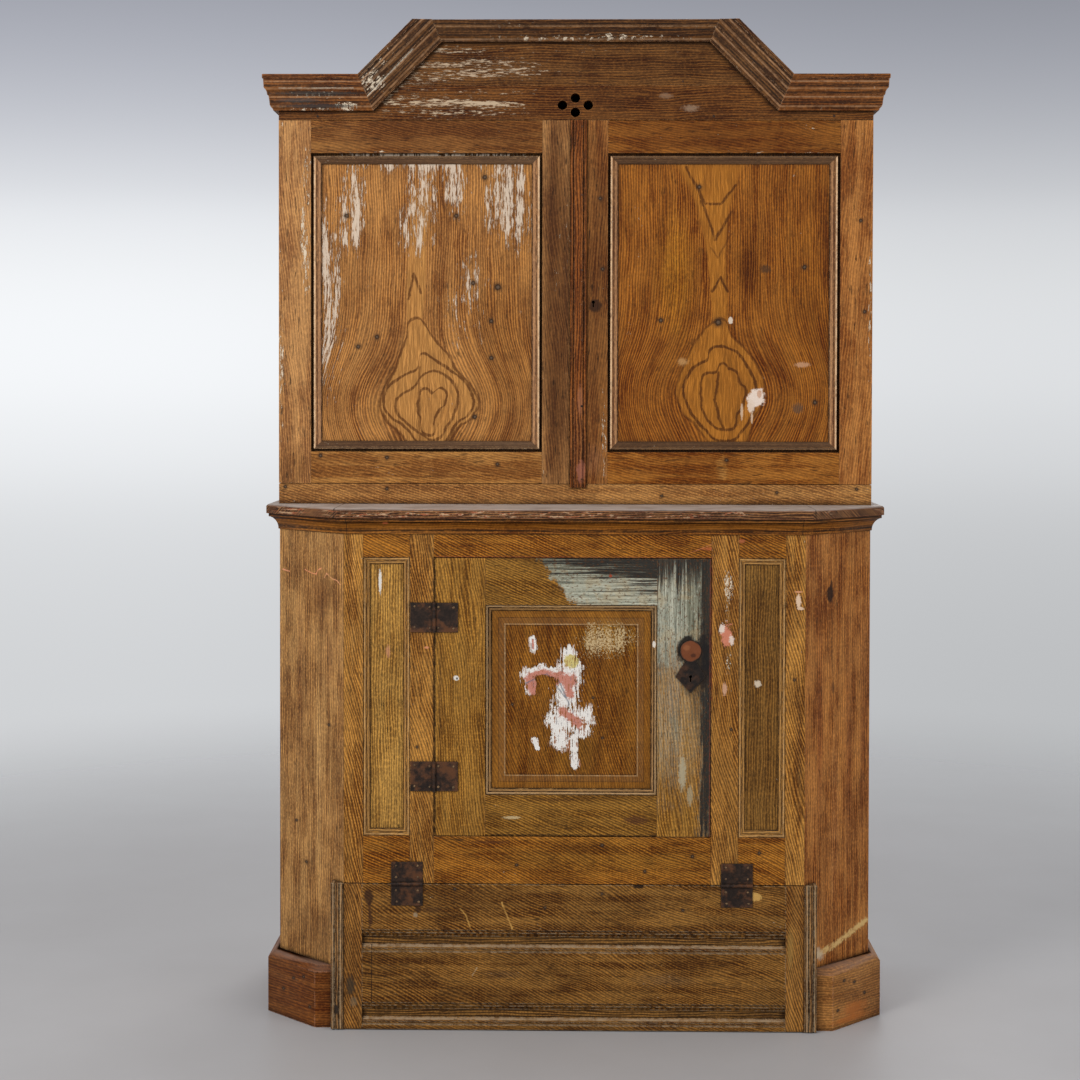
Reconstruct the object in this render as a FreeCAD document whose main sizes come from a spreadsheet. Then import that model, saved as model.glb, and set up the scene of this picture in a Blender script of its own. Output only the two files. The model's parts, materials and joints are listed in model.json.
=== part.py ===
import FreeCAD, Part
import math
import os
import re

import PartDesign
import Sketcher

# A painted two-stage cupboard. The lower stage has canted front corners, a panelled front with one
# door and a hinged base flap. The upper stage is set back, with a pair of doors under a pediment.
# Lengths are in millimetres. X runs to the right, Y to the back, Z up. The origin is on the floor,
# midway between the waist nosing and the back boards.

vector = FreeCAD.Vector

driving = [
    ("depth", 550, "waist nosing to back boards"),
    ("case_width", 1284, "lower stage over its side boards"),
    ("cant_deep", 157, "each canted corner, across and back"),
    ("wall", 24, "front frame, canted boards and side boards"),
    ("back_thick", 14, "back boards"),
    ("waist_height", 1103, "top of the waist board"),
    ("waist_thick", 20, "waist board"),
    ("nosing_reach", 28, "waist board beyond the lower front"),
    ("nosing_ease", 4, "softened top edge of the waist board"),
    ("waist_moulding_tall", 34, "moulding under the waist board"),
    ("waist_moulding_reach", 23, "moulding under the waist board"),
    ("waist_fillet", 7, "square fillet over the cavetto"),
    ("waist_foot", 3, "square foot under the cavetto"),
    ("outer_stile", 41, "lower front, outer stiles"),
    ("narrow_panel_wide", 99, "lower front, fixed panels"),
    ("left_inner_stile", 50, "lower front, hinge stile"),
    ("right_inner_stile", 57, "lower front, lock stile"),
    ("base_height", 312, "top of the base flap"),
    ("lower_bottom_rail", 100, "lower front, rails under the door"),
    ("lower_top_rail", 83, "lower front, rails over the door"),
    ("groove_deep", 8, "panel grooves"),
    ("tenon_long", 42, "rail tenons of the doors"),
    ("tenon_short", 18, "rail tenons of the lower front"),
    ("tenon_shoulder", 16, "a rail's outer edge to its tenon"),
    ("tenon_spare", 1, "mortise beyond its tenon's end"),
    ("panel_thick", 8, "panels in their grooves"),
    ("panel_fit", 0.3, "a panel's edge to the bottom of its groove"),
    ("narrow_recess", 10, "fixed panel behind the frame's face"),
    ("narrow_moulding_wide", 15, "moulding round the fixed panels"),
    ("narrow_moulding_thick", 8, "moulding round the fixed panels"),
    ("lower_door_gap", 1.5, "round the lower door"),
    ("lower_left_stile", 107, "lower door"),
    ("lower_right_stile", 112, "lower door"),
    ("lower_door_top_rail", 98, "lower door"),
    ("lower_door_bottom_rail", 86, "lower door"),
    ("lower_recess", 12, "lower door's panel behind its face"),
    ("lower_moulding_wide", 13, "moulding round the lower door's panel"),
    ("lower_moulding_thick", 9, "moulding round the lower door's panel"),
    ("bevel_wide", 29, "sloping margin of the raised panel"),
    ("field_rise", 7, "raised field above the margin"),
    ("flap_floor_gap", 2, "under the base flap"),
    ("flap_end_gap", 0.6, "at each end of the base flap"),
    ("flap_top_gap", 1.5, "over the base flap"),
    ("flap_stile", 38, "base flap"),
    ("flap_top_rail", 113, "base flap, with its moulded edge"),
    ("flap_slot", 16, "sunk strips of the base flap"),
    ("flap_bottom_rail", 25, "base flap, with its moulded edge"),
    ("flap_edge_tall", 15, "moulded edges of the flap's rails"),
    ("flap_edge_sunk", 9, "depth of the moulded edges"),
    ("slat_sunk", 12, "sunk strips behind the flap's face"),
    ("slat_thick", 6, "sunk strips"),
    ("strip_wide", 26, "upright strip beside the flap"),
    ("strip_proud", 3, "upright strip in front of the flap"),
    ("strip_quirk", 2, "sunk lines along the upright strip"),
    ("plinth_tall", 130, "plinth blocks"),
    ("plinth_thick", 34, "plinth block on the canted board"),
    ("plinth_side_thick", 22, "plinth board on the side"),
    ("plinth_set_back", 15, "plinth block behind the lower front"),
    ("plinth_ease", 12, "sloping top edge of the plinth"),
    ("floor_board_high", 45, "top of the base floor"),
    ("board_thick", 20, "floors, shelves and tops"),
    ("floor_drop", 14, "lower cupboard's floor below the door's opening"),
    ("lower_shelf_rise", 308, "lower shelf above the lower cupboard's floor"),
    ("shelf_set_back", 45, "shelf edge behind the inner face of the front"),
    ("batten_size", 22, "shelf battens"),
    ("back_board_count", 6, "boards across each back"),
    ("back_board_gap", 1, "between two back boards"),
    ("upper_set_back", 165, "upper front behind the lower front"),
    ("upper_wider", 3, "upper stage beyond the lower one at each side"),
    ("upper_front_thick", 26, "upper doors, base rail and frieze"),
    ("upper_side_thick", 22, "upper side boards"),
    ("base_rail_tall", 44, "rail under the upper doors"),
    ("upper_door_gap", 1, "round the upper doors"),
    ("upper_doors_tall", 791, "from the base rail to the frieze"),
    ("meeting_offset", 11, "meeting line of the upper doors left of the middle"),
    ("upper_outer_stile", 70, "upper doors, hinge side"),
    ("left_meeting_stile", 60, "left upper door"),
    ("right_meeting_stile", 81, "right upper door"),
    ("upper_top_rail", 71, "upper doors"),
    ("upper_bottom_rail", 69, "upper doors"),
    ("upper_recess", 12, "upper panels behind the door's face"),
    ("upper_moulding_wide", 17, "moulding planted on the upper panels"),
    ("upper_moulding_thick", 10, "moulding planted on the upper panels"),
    ("upper_moulding_gap", 6, "between the door frame and its moulding"),
    ("astragal_wide", 35, "strip on the right upper door"),
    ("astragal_thick", 8, "strip on the right upper door"),
    ("astragal_drop", 8, "strip below the doors"),
    ("astragal_bead", 6, "beads along the strip's edges"),
    ("low_shelf_rise", 279, "lower one of the upper shelves above the upper floor"),
    ("high_shelf_rise", 272, "higher one of the upper shelves above the lower one"),
    ("frieze_tall", 75, "frieze board under the pediment board"),
    ("cornice_lift", 19, "cornice above the frieze's lower edge"),
    ("cornice_tall", 76, "cornice moulding"),
    ("cornice_reach", 32, "cornice beyond the upper front"),
    ("cornice_end_long", 175, "level ends of the cornice along the front"),
    ("pediment_rise", 118, "flat top above the cornice ends"),
    ("crown_tall", 46, "moulding across the flat top"),
    ("vent_radius", 10.5, "vent holes"),
    ("vents_lift", 32, "middle of the vent group above the frieze's lower edge"),
    ("vent_side", 28, "outer holes from the middle one"),
    ("vent_rise", 15.5, "upper and lower holes from the middle"),
    ("hinge_radius", 4, "surface hinge barrel"),
    ("hinge_plate", 2.5, "surface hinge leaves"),
    ("hinge_tall", 62, "lower door hinge"),
    ("hinge_leaf", 50, "lower door hinge leaf"),
    ("door_hinge_end", 94, "lower door hinge to the door's end"),
    ("flap_hinge_wide", 66, "flap hinge along its barrel"),
    ("flap_hinge_leaf", 46, "flap hinge leaf"),
    ("left_flap_hinge_in", 134, "left flap hinge's middle from the front's corner"),
    ("right_flap_hinge_in", 142, "right flap hinge's middle from the front's corner"),
    ("butt_radius", 3.5, "upper hinge barrel"),
    ("butt_plate", 2, "upper hinge leaves"),
    ("butt_tall", 50, "upper hinges"),
    ("butt_leaf", 18, "upper hinge leaf"),
    ("butt_end", 62, "upper hinge to the door's end"),
    ("pin_radius", 1.8, "hinge pins"),
    ("pin_fit", 0.05, "hinge pin in its barrel"),
    ("hinge_clear", 0.4, "between hinge pieces and wood"),
    ("lower_lock_rise", 339, "lower keyhole above the door's opening"),
    ("lower_lock_edge", 42, "lower keyhole from the door's edge"),
    ("upper_lock_rise", 440, "upper keyhole above the waist board"),
    ("upper_lock_edge", 50, "upper keyhole from the door's edge"),
    ("lock_wide", 84, "lock cases"),
    ("lock_tall", 72, "lock cases"),
    ("lock_deep", 16, "lock cases"),
    ("lock_edge", 4, "lock case from the door's edge"),
    ("bolt_tall", 16, "lock bolts"),
    ("bolt_thick", 7, "lock bolts"),
    ("bolt_long", 60, "lock bolts"),
    ("bolt_fit", 0.3, "round a lock bolt"),
    ("keyhole_radius", 3.5, "keyholes"),
    ("keyhole_slot", 3, "width of a keyhole's slot"),
    ("keyhole_drop", 11, "keyhole's slot below its round"),
    ("escutcheon_wide", 63, "diamond plate"),
    ("escutcheon_up", 50, "diamond plate above the keyhole"),
    ("escutcheon_down", 34, "diamond plate below the keyhole"),
    ("escutcheon_thick", 2, "diamond plate"),
    ("boss_up", 54, "round head's middle above the keyhole"),
    ("boss_radius", 22, "round head over the diamond plate"),
    ("boss_thick", 3, "round head over the diamond plate"),
]

derived = [
    ("mitre", "tan(22.5)"),
    ("diagonal", "sqrt(2)"),
    ("front", "nosing_reach - depth / 2"),
    ("back", "depth / 2"),
    ("inner_back", "back - back_thick"),
    ("side_x", "case_width / 2"),
    ("front_x", "side_x - cant_deep"),
    ("rear_y", "front + cant_deep"),
    ("frame_high", "waist_height - waist_thick"),
    ("frame_back", "front + wall"),
    ("door_low", "base_height + lower_bottom_rail"),
    ("door_high", "frame_high - lower_top_rail"),
    ("cupboard_floor_high", "door_low - floor_drop"),
    ("lower_shelf_high", "cupboard_floor_high + lower_shelf_rise"),
    ("lower_lock_high", "door_low + lower_lock_rise"),
    ("opening_left", "outer_stile + narrow_panel_wide + left_inner_stile - front_x"),
    ("opening_right", "front_x - outer_stile - narrow_panel_wide - right_inner_stile"),
    ("door_left", "opening_left + lower_door_gap"),
    ("door_right", "opening_right - lower_door_gap"),
    ("door_base", "door_low + lower_door_gap"),
    ("door_top", "door_high - lower_door_gap"),
    ("lower_panel_left", "door_left + lower_left_stile"),
    ("lower_panel_right", "door_right - lower_right_stile"),
    ("lower_panel_low", "door_base + lower_door_bottom_rail"),
    ("lower_panel_high", "door_top - lower_door_top_rail"),
    ("flap_x", "front_x - flap_end_gap"),
    ("flap_high", "base_height - flap_top_gap"),
    ("flap_opening_x", "flap_x - flap_stile"),
    ("flap_low_slot", "flap_floor_gap + flap_bottom_rail"),
    ("flap_high_slot", "flap_high - flap_top_rail - flap_slot"),
    ("strip_x", "front_x + flap_end_gap"),
    ("upper_front", "front + upper_set_back"),
    ("upper_back", "upper_front + upper_front_thick"),
    ("upper_side_front", "upper_back + upper_door_gap"),
    ("upper_x", "side_x + upper_wider"),
    ("upper_inner_x", "upper_x - upper_side_thick"),
    ("frieze_low", "waist_height + base_rail_tall + upper_doors_tall"),
    ("upper_door_low", "waist_height + base_rail_tall + upper_door_gap"),
    ("upper_door_high", "frieze_low - upper_door_gap"),
    ("upper_panel_x", "upper_x - upper_outer_stile"),
    ("left_door_edge", "-meeting_offset"),
    ("right_door_edge", "left_door_edge + upper_door_gap"),
    ("upper_shelf_low", "waist_height + board_thick + low_shelf_rise"),
    ("upper_shelf_high", "upper_shelf_low + high_shelf_rise"),
    ("upper_lock_high", "waist_height + upper_lock_rise"),
    ("frieze_joint", "frieze_low + frieze_tall"),
    ("vent_middle", "frieze_low + vents_lift"),
    ("cornice_low", "frieze_low + cornice_lift"),
    ("cornice_high", "cornice_low + cornice_tall"),
    ("pediment_high", "cornice_high + pediment_rise"),
    ("rake_foot", "upper_x - cornice_end_long"),
    ("rake_inner_foot", "rake_foot - cornice_tall * mitre"),
    ("crown_low", "pediment_high - crown_tall"),
    ("crown_x", "rake_inner_foot - (crown_low - cornice_low)"),
    ("rake_long", "(crown_low - cornice_low) * diagonal"),
    ("pediment_x", "rake_foot - pediment_rise"),
    ("surface_axis", "front - hinge_radius"),
    ("butt_axis", "upper_back + upper_door_gap / 2"),
    ("lower_axis_x", "opening_left + lower_door_gap / 2"),
    ("flap_axis_z", "base_height - flap_top_gap / 2"),
    ("lower_key_x", "door_right - lower_lock_edge"),
    ("upper_key_x", "right_door_edge + upper_lock_edge"),
]

doc = FreeCAD.newDocument("Cupboard")
sheet = doc.addObject("Spreadsheet::Sheet", "Sizes")
layout = doc.addObject("App::VarSet", "Layout")
size_names = [name for name, value, note in driving]
place_names = [name for name, formula in derived]
nodes = []


def bind(formula):
    def owned(match):
        word = match.group(0)
        if word in size_names:
            return "Sizes." + word
        if word in place_names:
            return "Layout." + word
        return word
    return re.sub(r"[a-z_]+", owned, str(formula))


def worth(formula):
    return float(sheet.evalExpression(bind(formula)))


def fill_sheet():
    for row, (name, value, note) in enumerate(driving, 1):
        sheet.set("A%d" % row, note)
        sheet.set("B%d" % row, str(value))
        sheet.setAlias("B%d" % row, name)
    doc.recompute()
    for name, formula in derived:
        layout.addProperty("App::PropertyFloat", name, "Layout")
        layout.setExpression(name, bind(formula))
    doc.recompute()


def negative(formula):
    return "-(%s)" % formula


def mirrored(side, formula):
    return formula if side > 0 else negative(formula)


def node(label, pieces):
    if len(pieces) == 1:
        whole = pieces[0]
    else:
        whole = doc.addObject("Part::Compound", label + "_set")
        whole.Links = pieces
    whole.Label = label
    nodes.append(whole)
    return whole


def box(name, across, deep, tall):
    piece = doc.addObject("Part::Box", name)
    for length, axis, (low, high) in (("Length", "x", across), ("Width", "y", deep), ("Height", "z", tall)):
        piece.setExpression(length, bind("(%s) - (%s)" % (high, low)))
        piece.setExpression("Placement.Base." + axis, bind(low))
    return piece


def cylinder(name, radius, tall, base, direction):
    piece = doc.addObject("Part::Cylinder", name)
    piece.setExpression("Radius", bind(radius))
    piece.setExpression("Height", bind(tall))
    turn = FreeCAD.Rotation(vector(0, 0, 1), vector(*direction))
    place(piece, base, turn)
    return piece


def place(piece, base, turn):
    piece.Placement = FreeCAD.Placement(vector(0, 0, 0), turn)
    for axis, formula in zip("xyz", base):
        piece.setExpression("Placement.Base." + axis, bind(formula))


def axes(along, up, out):
    return FreeCAD.Rotation(vector(*along), vector(*up), vector(*out), "XYZ")


def cut(name, base, tools):
    for index, tool in enumerate(tools):
        trimmed = doc.addObject("Part::Cut", "%s_%d" % (name, index))
        trimmed.Base = base
        trimmed.Tool = tool
        base = trimmed
    return base


def fuse(name, pieces):
    whole = doc.addObject("Part::MultiFuse", name)
    whole.Shapes = pieces
    return whole


def bend(start, end, radius, turn):
    # an arc from start to end, with its centre to the left of the chord where turn is 1
    chord = end - start
    half = chord.Length / 2
    rise = math.sqrt(max(radius ** 2 - half ** 2, 0))
    across = vector(-chord.y, chord.x, 0).normalize()
    centre = (start + end) / 2 + across * rise * turn
    return Part.Arc(start, centre - across * radius * turn, end)


def draw(sketch, outline):
    # each corner is (x, y), and (x, y, radius, turn) where an arc leads to it from the corner before
    first = sketch.GeometryCount
    count = len(outline)
    corners = [vector(worth(step[0]), worth(step[1]), 0) for step in outline]
    starts = []
    for index in range(count):
        following = outline[(index + 1) % count]
        start, end = corners[index], corners[(index + 1) % count]
        if len(following) == 2:
            sketch.addGeometry(Part.LineSegment(start, end), False)
        else:
            sketch.addGeometry(bend(start, end, worth(following[2]), following[3]), False)
        kept = sketch.getPoint(first + index, 1).distanceToPoint(start) < 1e-6
        starts.append(1 if kept else 2)
    for index in range(count):
        after = (index + 1) % count
        sketch.addConstraint(Sketcher.Constraint(
            "Coincident", first + index, 3 - starts[index], first + after, starts[after]))
    for index, step in enumerate(outline):
        for kind, formula in (("DistanceX", step[0]), ("DistanceY", step[1])):
            held = sketch.addConstraint(Sketcher.Constraint(
                kind, -1, 1, first + index, starts[index], worth(formula)))
            sketch.setExpression("Constraints[%d]" % held, bind(formula))
        following = outline[(index + 1) % count]
        if len(following) > 2:
            held = sketch.addConstraint(Sketcher.Constraint("Radius", first + index, worth(following[2])))
            sketch.setExpression("Constraints[%d]" % held, bind(following[2]))


def sketch_on(body, name, plane, offset, outlines):
    # the planes' normals are +Z for XY_Plane, -Y for XZ_Plane and +X for YZ_Plane
    sketch = body.newObject("Sketcher::SketchObject", name)
    support = [feature for feature in body.Origin.OriginFeatures if feature.Role == plane][0]
    sketch.AttachmentSupport = (support, [""])
    sketch.MapMode = "FlatFace"
    sketch.setExpression("AttachmentOffset.Base.z", bind(offset))
    for outline in outlines:
        draw(sketch, outline)
    return sketch


def pad(body, name, plane, low, high, outlines):
    backward = plane == "XZ_Plane"
    sketch = sketch_on(body, name + "_outline", plane, negative(low) if backward else low, outlines)
    feature = body.newObject("PartDesign::Pad", name + "_pad")
    feature.Profile = sketch
    feature.Reversed = backward
    feature.setExpression("Length", bind("(%s) - (%s)" % (high, low)))
    return feature


def slab(name, plane, low, high, *outlines):
    body = doc.addObject("PartDesign::Body", name)
    pad(body, name, plane, low, high, outlines)
    return body


def loft(body, name, plane, levels):
    # levels are (offset, outline) pairs
    sketches = [sketch_on(body, "%s_level_%d" % (name, index), plane, offset, [outline])
                for index, (offset, outline) in enumerate(levels)]
    feature = body.newObject("PartDesign::AdditiveLoft", name + "_loft")
    feature.Profile = sketches[0]
    feature.Sections = sketches[1:]
    feature.Ruled = True
    return feature


def run(name, profile, long, width, thick, start, end, base, turn, trims=()):
    # A moulding along its own X axis: the profile's first coordinate is Y, across the face, and its
    # second is Z, out of the face. Each end is ("face", slope) or ("corner", slope): the cut moves
    # along X by slope for each unit of Y, or for each unit of Z.
    body = doc.addObject("PartDesign::Body", name)
    spare = "(%s + %s)" % (width, thick)
    pad(body, name, "YZ_Plane", negative(spare), "%s + %s" % (long, spare), [profile])
    cuts = {"face": [], "corner": []}
    for (kind, slope), edge, far in ((start, "0", negative("2 * " + spare)),
                                     (end, long, "%s + 2 * %s" % (long, spare))):
        reach = width if kind == "face" else thick
        low = "%s - (%s)" % (edge, slope)
        high = "%s + (%s) * (%s + 1)" % (edge, slope, reach)
        across = "%s + 1" % reach
        cuts[kind].append([(low, "-1"), (high, across), (far, across), (far, "-1")])
    cuts["face"] += list(trims)
    for kind, outlines in cuts.items():
        if not outlines:
            continue
        plane, deep = ("XY_Plane", thick) if kind == "face" else ("XZ_Plane", width)
        offset = "%s + 1" % thick if kind == "face" else "1"
        for index, outline in enumerate(outlines):
            label = "%s_%s_%d" % (name, kind, index)
            sketch = sketch_on(body, label, plane, offset, [outline])
            feature = body.newObject("PartDesign::Pocket", label + "_pocket")
            feature.Profile = sketch
            feature.setExpression("Length", bind("%s + 2" % deep))
    place(body, base, turn)
    return body


def case_outline(offset, back_line):
    front_corner = "front_x + (%s) * mitre" % offset
    side_corner = "side_x + (%s)" % offset
    front_line = "front - (%s)" % offset
    rear_line = "rear_y - (%s) * mitre" % offset
    return [(front_corner, front_line), (side_corner, rear_line), (side_corner, back_line),
            (negative(side_corner), back_line), (negative(side_corner), rear_line),
            (negative(front_corner), front_line)]


def rectangle(left, low, right, high):
    return [(left, low), (right, low), (right, high), (left, high)]


def framed(name, profile, width, thick, left, low, right, high, face):
    # four mitred lengths of moulding laid on a face that looks forward
    wide = "(%s) - (%s)" % (right, left)
    tall = "(%s) - (%s)" % (high, low)
    sides = (("bottom", (left, face, low), (1, 0, 0), (0, 0, 1), wide),
             ("right", (right, face, low), (0, 0, 1), (-1, 0, 0), tall),
             ("top", (right, face, high), (-1, 0, 0), (0, 0, -1), wide),
             ("left", (left, face, high), (0, 0, -1), (1, 0, 0), tall))
    return [run("%s_%s" % (name, side), profile, "(%s)" % long, width, thick, ("face", "1"), ("face", "-1"),
                base, axes(along, inward, (0, -1, 0)))
            for side, base, along, inward, long in sides]


def tenons(body, left, right, outer, inner, way, front_line, back_line, long):
    # a haunched tenon at each end of a rail, in line with its panel groove; outer and inner are the
    # heights of its outer edge and of its groove's bottom, and way is 1 where inner is the higher
    shoulder = "%s + (%d) * tenon_shoulder" % (outer, way)
    for label, level, reach in (("haunch", outer, "groove_deep - panel_fit"), ("tenon", shoulder, long)):
        pad(body, "%s_%s" % (body.Name, label), "YZ_Plane", "%s - (%s)" % (left, reach),
            "%s + (%s)" % (right, reach), [rectangle(front_line, level, back_line, inner)])


def mortises(name, upright, edge, way, levels, front_line, back_line, long):
    # pockets for tenons; way is 1 where the upright lies beyond the edge along +X
    deep = "%s + (%d) * (%s + tenon_spare)" % (edge, way, long)
    across = (edge, deep) if way > 0 else (deep, edge)
    pockets = [box("%s_mortise_%d" % (name, index), across, (front_line, back_line), level)
               for index, level in enumerate(levels)]
    return cut(name + "_mortised", upright, pockets)


def panel_moulding(width, thick):
    # a square outer edge, a flat, then an ovolo that falls to a thin inner edge
    flat = "%s * 0.3" % width
    return [("0", "0"), (width, "0"), (width, "%s * 0.2" % thick),
            (flat, "%s * 0.85" % thick, "%s" % width, 1), (flat, thick), ("0", thick)]


# lower stage: case

def lower_boards():
    for side, hand in ((-1, "left"), (1, "right")):
        cant = [("front_x", "front"), ("side_x", "rear_y"), ("side_x - wall", "rear_y + wall * mitre"),
                ("front_x - wall * mitre", "frame_back")]
        board = [("side_x", "rear_y"), ("side_x", "back"), ("side_x - wall", "back"),
                 ("side_x - wall", "rear_y + wall * mitre")]
        for label, outline in (("cant", cant), ("side", board)):
            name = "lower_%s_%s" % (hand, label)
            outline = [(mirrored(side, x), y) for x, y in outline]
            node(name + "_board", [slab(name, "XY_Plane", "0", "frame_high", outline)])


def lower_front():
    groove_front = "front + narrow_recess"
    groove_back = "front + narrow_recess + panel_thick"
    narrow_levels = (("base_height + tenon_shoulder", "door_low - groove_deep"),
                     ("door_high + groove_deep", "frame_high - tenon_shoulder"))
    middle_levels = (("base_height + tenon_shoulder", "door_low - tenon_shoulder"),
                     ("door_high + tenon_shoulder", "frame_high - tenon_shoulder"))
    stiles = []
    for side, hand in ((-1, "left"), (1, "right")):
        edge = "front_x - outer_stile"
        bottom = "front_x - outer_stile + groove_deep"
        outer = [("front_x", "front"), ("front_x - wall * mitre", "frame_back"), (edge, "frame_back"),
                 (edge, groove_back), (bottom, groove_back), (bottom, groove_front), (edge, groove_front),
                 (edge, "front")]
        panel_edge = "front_x - outer_stile - narrow_panel_wide"
        wide = "%s_inner_stile" % hand
        bottom = panel_edge + " - groove_deep"
        inner = [(panel_edge, "front"), (panel_edge, groove_front), (bottom, groove_front),
                 (bottom, groove_back), (panel_edge, groove_back), (panel_edge, "frame_back"),
                 ("%s - %s" % (panel_edge, wide), "frame_back"), ("%s - %s" % (panel_edge, wide), "front")]
        sockets = {"outer": [(mirrored(side, edge), side, narrow_levels)],
                   "inner": [(mirrored(side, panel_edge), -side, narrow_levels),
                             ("opening_" + hand, side, middle_levels)]}
        for label, outline in (("outer", outer), ("inner", inner)):
            outline = [(mirrored(side, x), y) for x, y in outline]
            name = "lower_%s_%s_stile" % (hand, label)
            upright = slab(name, "XY_Plane", "base_height", "frame_high", outline)
            for index, (line, way, levels) in enumerate(sockets[label]):
                upright = mortises("%s_%d" % (name, index), upright, line, way, levels, groove_front,
                                   groove_back, "tenon_short")
            stiles.append(upright)
    node("lower_front_stiles", stiles)

    rails = []
    for side, hand in ((-1, "left"), (1, "right")):
        ends = ["front_x - outer_stile - narrow_panel_wide", "front_x - outer_stile"]
        if side < 0:
            ends = [negative(ends[1]), negative(ends[0])]
        for label, low, high, lip in (("top", "door_high", "frame_high", "door_high"),
                                      ("bottom", "base_height", "door_low", "door_low")):
            inward = 1 if label == "top" else -1
            bottom = "%s + (%d) * groove_deep" % (lip, inward)
            far = high if label == "top" else low
            outline = [("front", lip), (groove_front, lip), (groove_front, bottom), (groove_back, bottom),
                       (groove_back, lip), ("frame_back", lip), ("frame_back", far), ("front", far)]
            body = slab("lower_%s_%s_rail" % (hand, label), "YZ_Plane", ends[0], ends[1], outline)
            tenons(body, ends[0], ends[1], far, bottom, -inward, groove_front, groove_back, "tenon_short")
            rails.append(body)
    for label, low, high in (("top", "door_high", "frame_high"), ("bottom", "base_height", "door_low")):
        body = slab("lower_middle_%s_rail" % label, "YZ_Plane", "opening_left", "opening_right",
                    rectangle("front", low, "frame_back", high))
        pad(body, body.Name + "_tenon", "YZ_Plane", "opening_left - tenon_short",
            "opening_right + tenon_short",
            [rectangle(groove_front, low + " + tenon_shoulder", groove_back, high + " - tenon_shoulder")])
        rails.append(body)
    node("lower_front_rails", rails)

    panels = []
    mouldings = []
    for side, hand in ((-1, "left"), (1, "right")):
        left = mirrored(side, "front_x - outer_stile" + (" - narrow_panel_wide" if side > 0 else ""))
        right = mirrored(side, "front_x - outer_stile" + (" - narrow_panel_wide" if side < 0 else ""))
        reach = "groove_deep - panel_fit"
        panels.append(box("narrow_%s_panel" % hand,
                          ("%s - (%s)" % (left, reach), "%s + %s" % (right, reach)),
                          (groove_front, groove_back),
                          ("door_low - (%s)" % reach, "door_high + %s" % reach)))
        mouldings += framed("narrow_%s_moulding" % hand,
                            panel_moulding("narrow_moulding_wide", "narrow_moulding_thick"),
                            "narrow_moulding_wide", "narrow_moulding_thick",
                            left, "door_low", right, "door_high", groove_front)
    node("narrow_panels", panels)
    node("narrow_panel_mouldings", mouldings)


def waist():
    body = doc.addObject("PartDesign::Body", "waist")
    lip = "waist_height - nosing_ease"
    full = case_outline("nosing_reach", "back")
    pad(body, "waist", "XY_Plane", "frame_high", lip, [full])
    loft(body, "waist_edge", "XY_Plane",
         [(lip, full), ("waist_height", case_outline("nosing_reach - nosing_ease", "back"))])
    node("waist_board", [body])

    # a narrow foot, a hollow and a square fillet
    wide, tall = "waist_moulding_reach", "waist_moulding_tall"
    shoulder = "waist_moulding_tall - waist_fillet"
    hollow = "(%s)" % shoulder
    profile = [("0", "0"), ("waist_foot", "0"), ("waist_foot", "waist_foot"),
               (wide + " - waist_foot", shoulder, hollow, -1), (wide, shoulder), (wide, tall), ("0", tall)]
    level = "frame_high - waist_moulding_tall"
    half = 1 / math.sqrt(2)
    square, out, back_out = ("face", "0"), ("face", "-mitre"), ("face", "mitre")
    cant_long = "((side_x - front_x) * diagonal)"
    side_long = "(back - rear_y)"
    pieces = [
        ("front", ("front_x", "front", level), (0, -1, 0), "(2 * front_x)", out, back_out),
        ("right_cant", ("side_x", "rear_y", level), (half, -half, 0), cant_long, out, back_out),
        ("right_side", ("side_x", "back", level), (1, 0, 0), side_long, square, back_out),
        ("left_cant", ("-front_x", "front", level), (-half, -half, 0), cant_long, out, back_out),
        ("left_side", ("-side_x", "rear_y", level), (-1, 0, 0), side_long, out, square),
    ]
    made = []
    for label, base, outward, long, start, end in pieces:
        along = vector(*outward).cross(vector(0, 0, 1))
        made.append(run("waist_%s_moulding" % label, profile, long, wide, tall, start, end, base,
                        axes(tuple(along), outward, (0, 0, 1))))
    node("waist_mouldings", made)


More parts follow.
